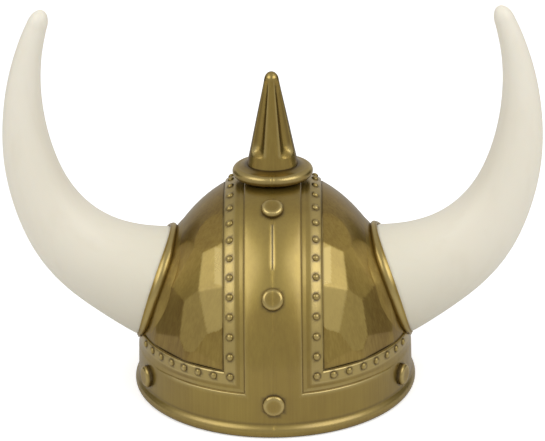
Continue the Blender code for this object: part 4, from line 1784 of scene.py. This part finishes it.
@dataclass
class Horn:
    """One curved, tapering, hollow horn."""

    socket: Socket
    length: float = 248.05 * MM
    wall: float = 2.2 * MM
    inset: float = 2.8 * MM
    sides: int = 96
    rows: int = 150
    route_steps: int = 2000
    # Two rows near the root: faces below the second one face away from the first one's middle.
    check_rows: tuple[int, int] = (30, 40)
    # Share of the length, heading in degrees above the outward horizontal.
    headings: tuple[tuple[float, float], ...] = (
        (0.0, 17.9),
        (0.15, 30.05),
        (0.35, 58.7),
        (0.55, 79.7),
        (0.75, 95.2),
        (1.0, 115.4),
    )
    # Share of the length, radius in mm.
    radii: tuple[tuple[float, float], ...] = (
        (0.0, 40.9),
        (0.12, 34.3),
        (0.27, 28.3),
        (0.42, 22.5),
        (0.57, 18.1),
        (0.72, 13.6),
        (0.85, 9.9),
        (0.95, 7.4),
        (1.0, 5.4),
    )
    nose: float = 0.95

    def route(self, share: Array) -> Array:
        """Follow the centreline.

        Args:
            share: Shares of the length.

        Returns:
            A point for each.
        """
        fine = np.linspace(0.0, 1.0, self.route_steps + 1)
        heading = np.radians(hermite(self.headings, (fine[1:] + fine[:-1]) / 2.0))
        step = self.length / self.route_steps
        x, z = (np.concatenate([[0.0], np.cumsum(way * step)]) for way in (np.cos(heading), np.sin(heading)))
        offset = np.stack([np.interp(share, fine, x), 0.0 * share, np.interp(share, fine, z)], axis=-1)
        return (np.array(self.socket.face) + offset) * (self.socket.side.value, 1.0, 1.0)

    def girth(self, share: Array) -> Array:
        """Return the radius, with a rounded nose and a small turned-in root.

        Args:
            share: Shares of the length.

        Returns:
            The radius at each.
        """
        tip = np.clip((share - self.nose) / (1.0 - self.nose), 0.0, 1.0)
        blunt = hermite(self.radii, np.array([self.nose]))[0] * np.sqrt(np.maximum(1.0 - tip**2, 0.0))
        radius = np.where(share > self.nose, blunt, hermite(self.radii, share)) * MM
        root = 1.0 - smooth_step(0.0, 0.008, share)
        return np.maximum(radius - root * 0.2 * MM, 0.0)

    def outer(self) -> tuple[Array, Array, Array]:
        """Lay out the rows of the outside.

        Returns:
            The centreline, the radius and the share of each row.
        """
        body = np.linspace(0.0, self.nose, self.rows)
        extra = np.array([0.002, 0.004, 0.006, 0.009, 0.013])
        nose = self.nose + (1.0 - self.nose) * np.sin(np.radians(np.linspace(0.0, 89.6, 16)))[1:]
        share = np.unique(np.concatenate([body, extra, nose]))
        points = self.route(share)
        root = points[0] - self.socket.axis() * self.inset
        girth = self.girth(share)
        return np.vstack([root, points]), np.append(girth[:1], girth), np.append(0.0, share)

    def build(self, tree: HornTree, ivory: bpy.types.Material) -> bpy.types.Object:
        """Build the horn in place of its CAD node.

        Args:
            tree: The tree that sweeps it.
            ivory: Its finish.

        Returns:
            The piece.
        """
        name = f"ivory_horn_{self.socket.side.word}"
        rows = self.outer()
        mesh = tree.run(name, rows, self.sides, ivory)
        root = Vector(rows[0][0])
        way = Vector(self.socket.axis())
        with editing(mesh) as bm:
            bmesh.ops.remove_doubles(bm, verts=bm.verts, dist=0.005 * MM)
            caps = [face for face in bm.faces if len(face.verts) > 4]
            caps = [face for face in caps if abs((face.calc_center_median() - root).dot(way)) < MM]
            bmesh.ops.delete(bm, geom=caps, context="FACES")
            bmesh.ops.recalc_face_normals(bm, faces=bm.faces)
            low, high = Vector(rows[0][self.check_rows[0]]), rows[0][self.check_rows[1]][2]
            middles = [(face.normal, face.calc_center_median()) for face in bm.faces]
            if sum(normal.dot(middle - low) for normal, middle in middles if middle.z < high) < 0.0:
                bmesh.ops.reverse_faces(bm, faces=bm.faces)
        mesh = walled(mesh, self.wall)
        shade(mesh, 50.0)
        return dress(add_piece(name, mesh, ivory), "ivory", f"horn_{self.socket.side.word}")


@dataclass
class Crown:
    """The disc with its round bead and the fluted spike on it."""

    disc_radius: float = 24.9 * MM
    bead_radius: float = 4.1 * MM
    bead_height: float = 161.4 * MM
    # Radius in mm, height in mm, painted shade.
    disc_top: tuple[Triple, ...] = (
        (0.0, 166.9, 1.0),
        (17.0, 166.9, 1.0),
        (18.6, 166.85, 0.95),
        (19.6, 166.65, 0.75),
        (20.8, 166.35, 0.5),
        (22.0, 166.0, 0.35),
        (23.3, 165.7, 0.25),
    )
    disc_below: tuple[tuple[float, float], ...] = ((22.6, 158.1), (20.5, 159.1), (0.0, 159.1))
    disc_steps: int = 160
    flute_half_angle: float = 23.0
    flute_depth: float = 0.24
    spike_steps: int = 192
    # The painted reflection at the head of each flute: degrees from the side, height in mm.
    spot_angle: float = 28.0
    spot_height: float = 178.6
    # Height in mm, radius in mm, share of the full flute depth.
    spike_rows: tuple[Triple, ...] = (
        (166.9, 18.35, 0.0),
        (168.8, 17.95, 0.0),
        (171.0, 17.5, 0.0),
        (173.0, 17.05, 0.0),
        (174.6, 16.7, 0.0),
        (175.6, 16.5, 0.1),
        (177.2, 16.15, 0.36),
        (179.4, 15.7, 0.66),
        (182.0, 15.15, 0.88),
        (185.0, 14.55, 0.98),
        (188.7, 13.8, 1.0),
        (206.7, 10.05, 1.0),
        (220.0, 7.2, 0.92),
        (226.5, 5.85, 0.55),
        (230.0, 5.2, 0.1),
        (231.6, 4.85, 0.0),
        (233.2, 4.05, 0.0),
        (234.5, 2.85, 0.0),
        (235.2, 1.6, 0.0),
        (235.5, 0.0, 0.0),
    )

    def disc(self) -> Skin:
        """Turn the disc.

        Returns:
            Its skin.
        """
        turn = np.linspace(95.0, -100.0, 20)
        angle = np.radians(turn)
        across = self.disc_radius + self.bead_radius * np.cos(angle)
        bead = np.stack([across, self.bead_height + self.bead_radius * np.sin(angle)], axis=-1)
        top = np.array(self.disc_top)
        below = np.array(self.disc_below)
        profile = np.vstack([top[:, :2] * MM, bead, below * MM])
        # A painted highlight on the bead's upper front, painted shade on its lower half and round the spike's foot.
        lit = 0.8 * bell(turn, 35.0, 40.0)
        bead_shade = np.interp(turn, [-100.0, -60.0, -20.0, 10.0, 60.0, 95.0], [1.0, 0.85, 0.55, 0.2, 0.1, 0.25])
        edge = np.concatenate([0.0 * top[:, 2], lit, 0.0 * below[:, 0]])
        return turned_skin(profile, self.disc_steps, edge, np.concatenate([top[:, 2], bead_shade, 0.0 * below[:, 0] + 1.0]))

    def spike(self) -> Skin:
        """Shape the spike: a cone with four flutes between its ridges.

        Returns:
            Its skin.
        """
        steps = self.spike_steps
        table = np.array(self.spike_rows)
        rows = [np.linspace(low, high, 6, endpoint=False) for low, high in zip(table[:-1, 0], table[1:, 0])]
        height = np.concatenate([*rows, table[-1:, 0]])[:, None]
        radius = np.interp(height, table[:, 0], table[:, 1]) * MM
        depth = np.interp(height, table[:, 0], table[:, 2])
        turn = np.linspace(0.0, 360.0, steps, endpoint=False)[None, :]
        away = np.abs(turn % 90.0 - 45.0) / self.flute_half_angle
        flute = np.clip(1.0 - away**2, 0.0, 1.0)
        reach = radius * (1.0 - self.flute_depth * depth * flute)
        angle = np.radians(turn)
        points = np.stack([reach * np.cos(angle), reach * np.sin(angle), height * MM + 0.0 * reach], axis=-1)
        # Painted highlights along the ridges' borders, edge wear at the nose and painted reflections at the flutes'
        # heads.
        ridge = bell(away, 1.12, 0.16) * np.clip(depth * 3.0, 0.0, 1.0)
        from_side = np.abs((turn + 90.0) % 180.0 - 90.0)
        spot = bell(from_side, self.spot_angle, 7.0) * bell(height, self.spot_height, 3.6)
        nose = smooth_step(228.0, 233.0, height)
        # Painted shade on the flute walls beside the ridges and round the foot.
        inner = smooth_step(0.3, 0.8, away) * (1.0 - smooth_step(0.9, 1.02, away)) * depth
        foot = 1.0 - smooth_step(166.9, 167.9, height)
        cap = [(i, (i + 1) % steps, reach.size) for i in range(steps)]
        masks = {
            Mask.EDGE: np.append(np.maximum(np.maximum(0.75 * ridge, 0.4 * nose), 1.6 * spot), 0.0),
            Mask.HOLLOW: np.append(np.maximum(0.55 * inner, foot), 1.0),
        }
        base = [[0.0, 0.0, height[0, 0] * MM]]
        return Skin(np.vstack([points.reshape(-1, 3), base]), grid_faces(len(height), steps, wrap=True) + cap, masks)

    def build(self, notched: bpy.types.Material, bright: bpy.types.Material) -> list[bpy.types.Object]:
        """Build disc and spike in place of their CAD nodes.

        Args:
            notched: The disc's finish, with the parting line.
            bright: The spike's finish.

        Returns:
            Both pieces.
        """
        disc = add_piece("disc_with_bead", self.disc().to_mesh("disc_with_bead", sharp=50.0), notched)
        spike = add_piece("fluted_spike", self.spike().to_mesh("fluted_spike", sharp=60.0), bright)
        return [dress(disc, "bright_gold", "crown_disc"), dress(spike, "bright_gold", "crown_spike")]


# Studio


@dataclass(frozen=True)
class SoftBox:
    """One soft light: where it stands round the helmet, how large and how strong it is."""

    name: str
    azimuth: float
    elevation: float
    distance: float
    width: float
    height: float
    power: float
    glossy: bool = True


@dataclass
class Studio:
    """Camera, soft lights and a pale floor."""

    eye: Triple = (0.0272, -1.8724, 0.8123)
    aim: Triple = (-0.00067, 0.0, 0.1228)
    lens: float = 182.2
    roll: float = -0.82
    sensor: float = 36.0
    far: float = 50.0
    middle: Triple = (0.0, 0.0, 0.1)
    world: float = 0.55
    boxes: tuple[SoftBox, ...] = (
        SoftBox("large_left", -56.0, 41.5, 1.5, 1.15, 0.87, 5.6),
        SoftBox("large_right", 56.0, 41.5, 1.5, 1.15, 0.87, 6.6),
        SoftBox("backdrop", 180.0, 12.0, 1.6, 2.4, 0.8, 1.0),
        SoftBox("overhead", 0.0, 90.0, 2.2, 2.6, 2.6, 6.0, glossy=False),
    )
    flag_azimuth: float = 118.0
    flag_distance: float = 1.1
    flag_size: tuple[float, float] = (0.8, 0.5)
    floor_half: float = 6.0
    floor_drop: float = 0.2 * MM

    def camera(self) -> None:
        """Set the camera."""
        data = bpy.data.cameras.new("camera")
        data.lens = self.lens
        data.sensor_width = self.sensor
        data.clip_end = self.far
        camera = bpy.data.objects.new("camera", data)
        bpy.context.scene.collection.objects.link(camera)
        eye = Vector(self.eye)
        level = (Vector(self.aim) - eye).normalized().to_track_quat("-Z", "Y").to_matrix().to_4x4()
        camera.matrix_world = Matrix.Translation(eye) @ level @ Matrix.Rotation(math.radians(self.roll), 4, "Z")
        bpy.context.scene.camera = camera

    def light(self, box: SoftBox) -> None:
        """Hang one soft box, facing the helmet, unseen by the camera.

        Args:
            box: The soft box.
        """
        data = bpy.data.lights.new(box.name, "AREA")
        data.shape = "RECTANGLE"
        data.size = box.width
        data.size_y = box.height
        data.energy = box.power
        lamp = bpy.data.objects.new(box.name, data)
        bpy.context.scene.collection.objects.link(lamp)
        way = bearing(box.azimuth, box.elevation)
        middle = Vector(self.middle) + way * box.distance
        lamp.matrix_world = Matrix.Translation(middle) @ way.to_track_quat("Z", "Y").to_matrix().to_4x4()
        lamp.visible_glossy = box.glossy
        lamp.visible_camera = False

    def flag(self, side: Side) -> None:
        """Stand one dark flag behind the helmet's side, unseen, to give the gold something dark to mirror.

        Args:
            side: The wearer's side.
        """
        width, height = self.flag_size
        azimuth = self.flag_azimuth * side.value
        middle = bearing(azimuth) * self.flag_distance
        along = bearing(azimuth + 90.0) * width / 2.0
        corners = [middle - along, middle + along]
        corners += [corner + Vector((0.0, 0.0, height)) for corner in reversed(corners)]
        mesh = bpy.data.meshes.new(f"flag_{side.word}")
        mesh.from_pydata([tuple(corner) for corner in corners], [], [(0, 1, 2, 3)])
        material, shader, sheet = blank_material(f"flag_dark_{side.word}")
        sheet.fill(shader, {"Base Color": (0.06, 0.06, 0.06, 1.0), "Roughness": 1.0})
        flag = add_piece(f"flag_{side.word}", mesh, material)
        flag.visible_camera = False
        flag.visible_shadow = False
        flag.visible_diffuse = False

    def floor(self) -> None:
        """Lay the floor just under the rim."""
        mesh = bpy.data.meshes.new("floor")
        with editing(mesh) as bm:
            bmesh.ops.create_grid(bm, x_segments=8, y_segments=8, size=self.floor_half)
        floor = add_piece("floor", mesh, FloorFinish().make())
        floor.location.z = -self.floor_drop

    def build(self) -> None:
        """Set up camera, flags, lights, world and floor."""
        self.camera()
        for side in Side:
            self.flag(side)
        for box in self.boxes:
            self.light(box)
        scene = bpy.context.scene
        scene.world = bpy.data.worlds.new("studio")
        scene.world.use_nodes = True
        tree = scene.world.node_tree
        NodeSheet(tree).fill(tree.nodes["Background"], {"Color": (1.0, 1.0, 1.0, 1.0), "Strength": self.world})
        scene.view_settings.view_transform = "Standard"
        self.floor()


def main() -> None:
    """Load the frame and dress it, piece by piece."""
    logging.basicConfig(level=logging.INFO, format="%(name)s: %(message)s")
    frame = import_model()

    effect = Effect()
    panel_gold = GoldFinish(
        "panel_gold",
        body=(0.4, 0.283, 0.061),
        roughness=0.3,
        rim_tint=(0.62, 0.56, 0.46),
        coat=0.5,
        waviness=0.1,
        brushing=0.35,
        flats=0.5,
        seam=0.0,
    ).make(effect)
    band_gold = GoldFinish(
        "band_gold_fine",
        body=(0.365, 0.258, 0.046),
        rim_tint=(0.68, 0.59, 0.42),
        flats=0.5,
        coat=0.85,
        coat_roughness=0.25,
        waviness=0.05,
        brushing=0.22,
    ).make(effect)
    stud_gold = GoldFinish("bright_gold_fine", roughness=0.32, seam=0.1).make(effect)
    disc_gold = GoldFinish("bright_gold_notched", roughness=0.3, rim_tint=(0.65, 0.57, 0.42), seam=0.35).make(effect)
    spike_gold = GoldFinish(
        "bright_gold_plain", roughness=0.26, rim_tint=(0.4, 0.33, 0.2), coat=0.5, seam=0.0, rim=0.8
    ).make(effect)
    ivory = IvoryFinish().make(effect)

    dome = DomeForm()
    hammered = HammeredForm(dome)
    relief = BandRelief()
    fasteners = Fasteners(dome, relief, sorted(name for name in frame["nodes"] if name.startswith("stud_")))
    studs = list(fasteners.stud_places().values())
    pieces = [
        Skull(hammered, relief).build(panel_gold),
        BandWork(dome, relief, studs, fasteners.rivet_places()).build(band_gold),
        *fasteners.build(band_gold, stud_gold),
    ]
    horn_tree = HornTree()
    for side in Side:
        socket = Socket(hammered, side)
        pieces += [socket.build(panel_gold), Horn(socket).build(horn_tree, ivory)]
    pieces += Crown().build(disc_gold, spike_gold)
    for piece in pieces:
        LOG.info("%s: %d faces", piece.name, len(piece.data.polygons))
    Studio().build()


if __name__ == "__main__":
    main()
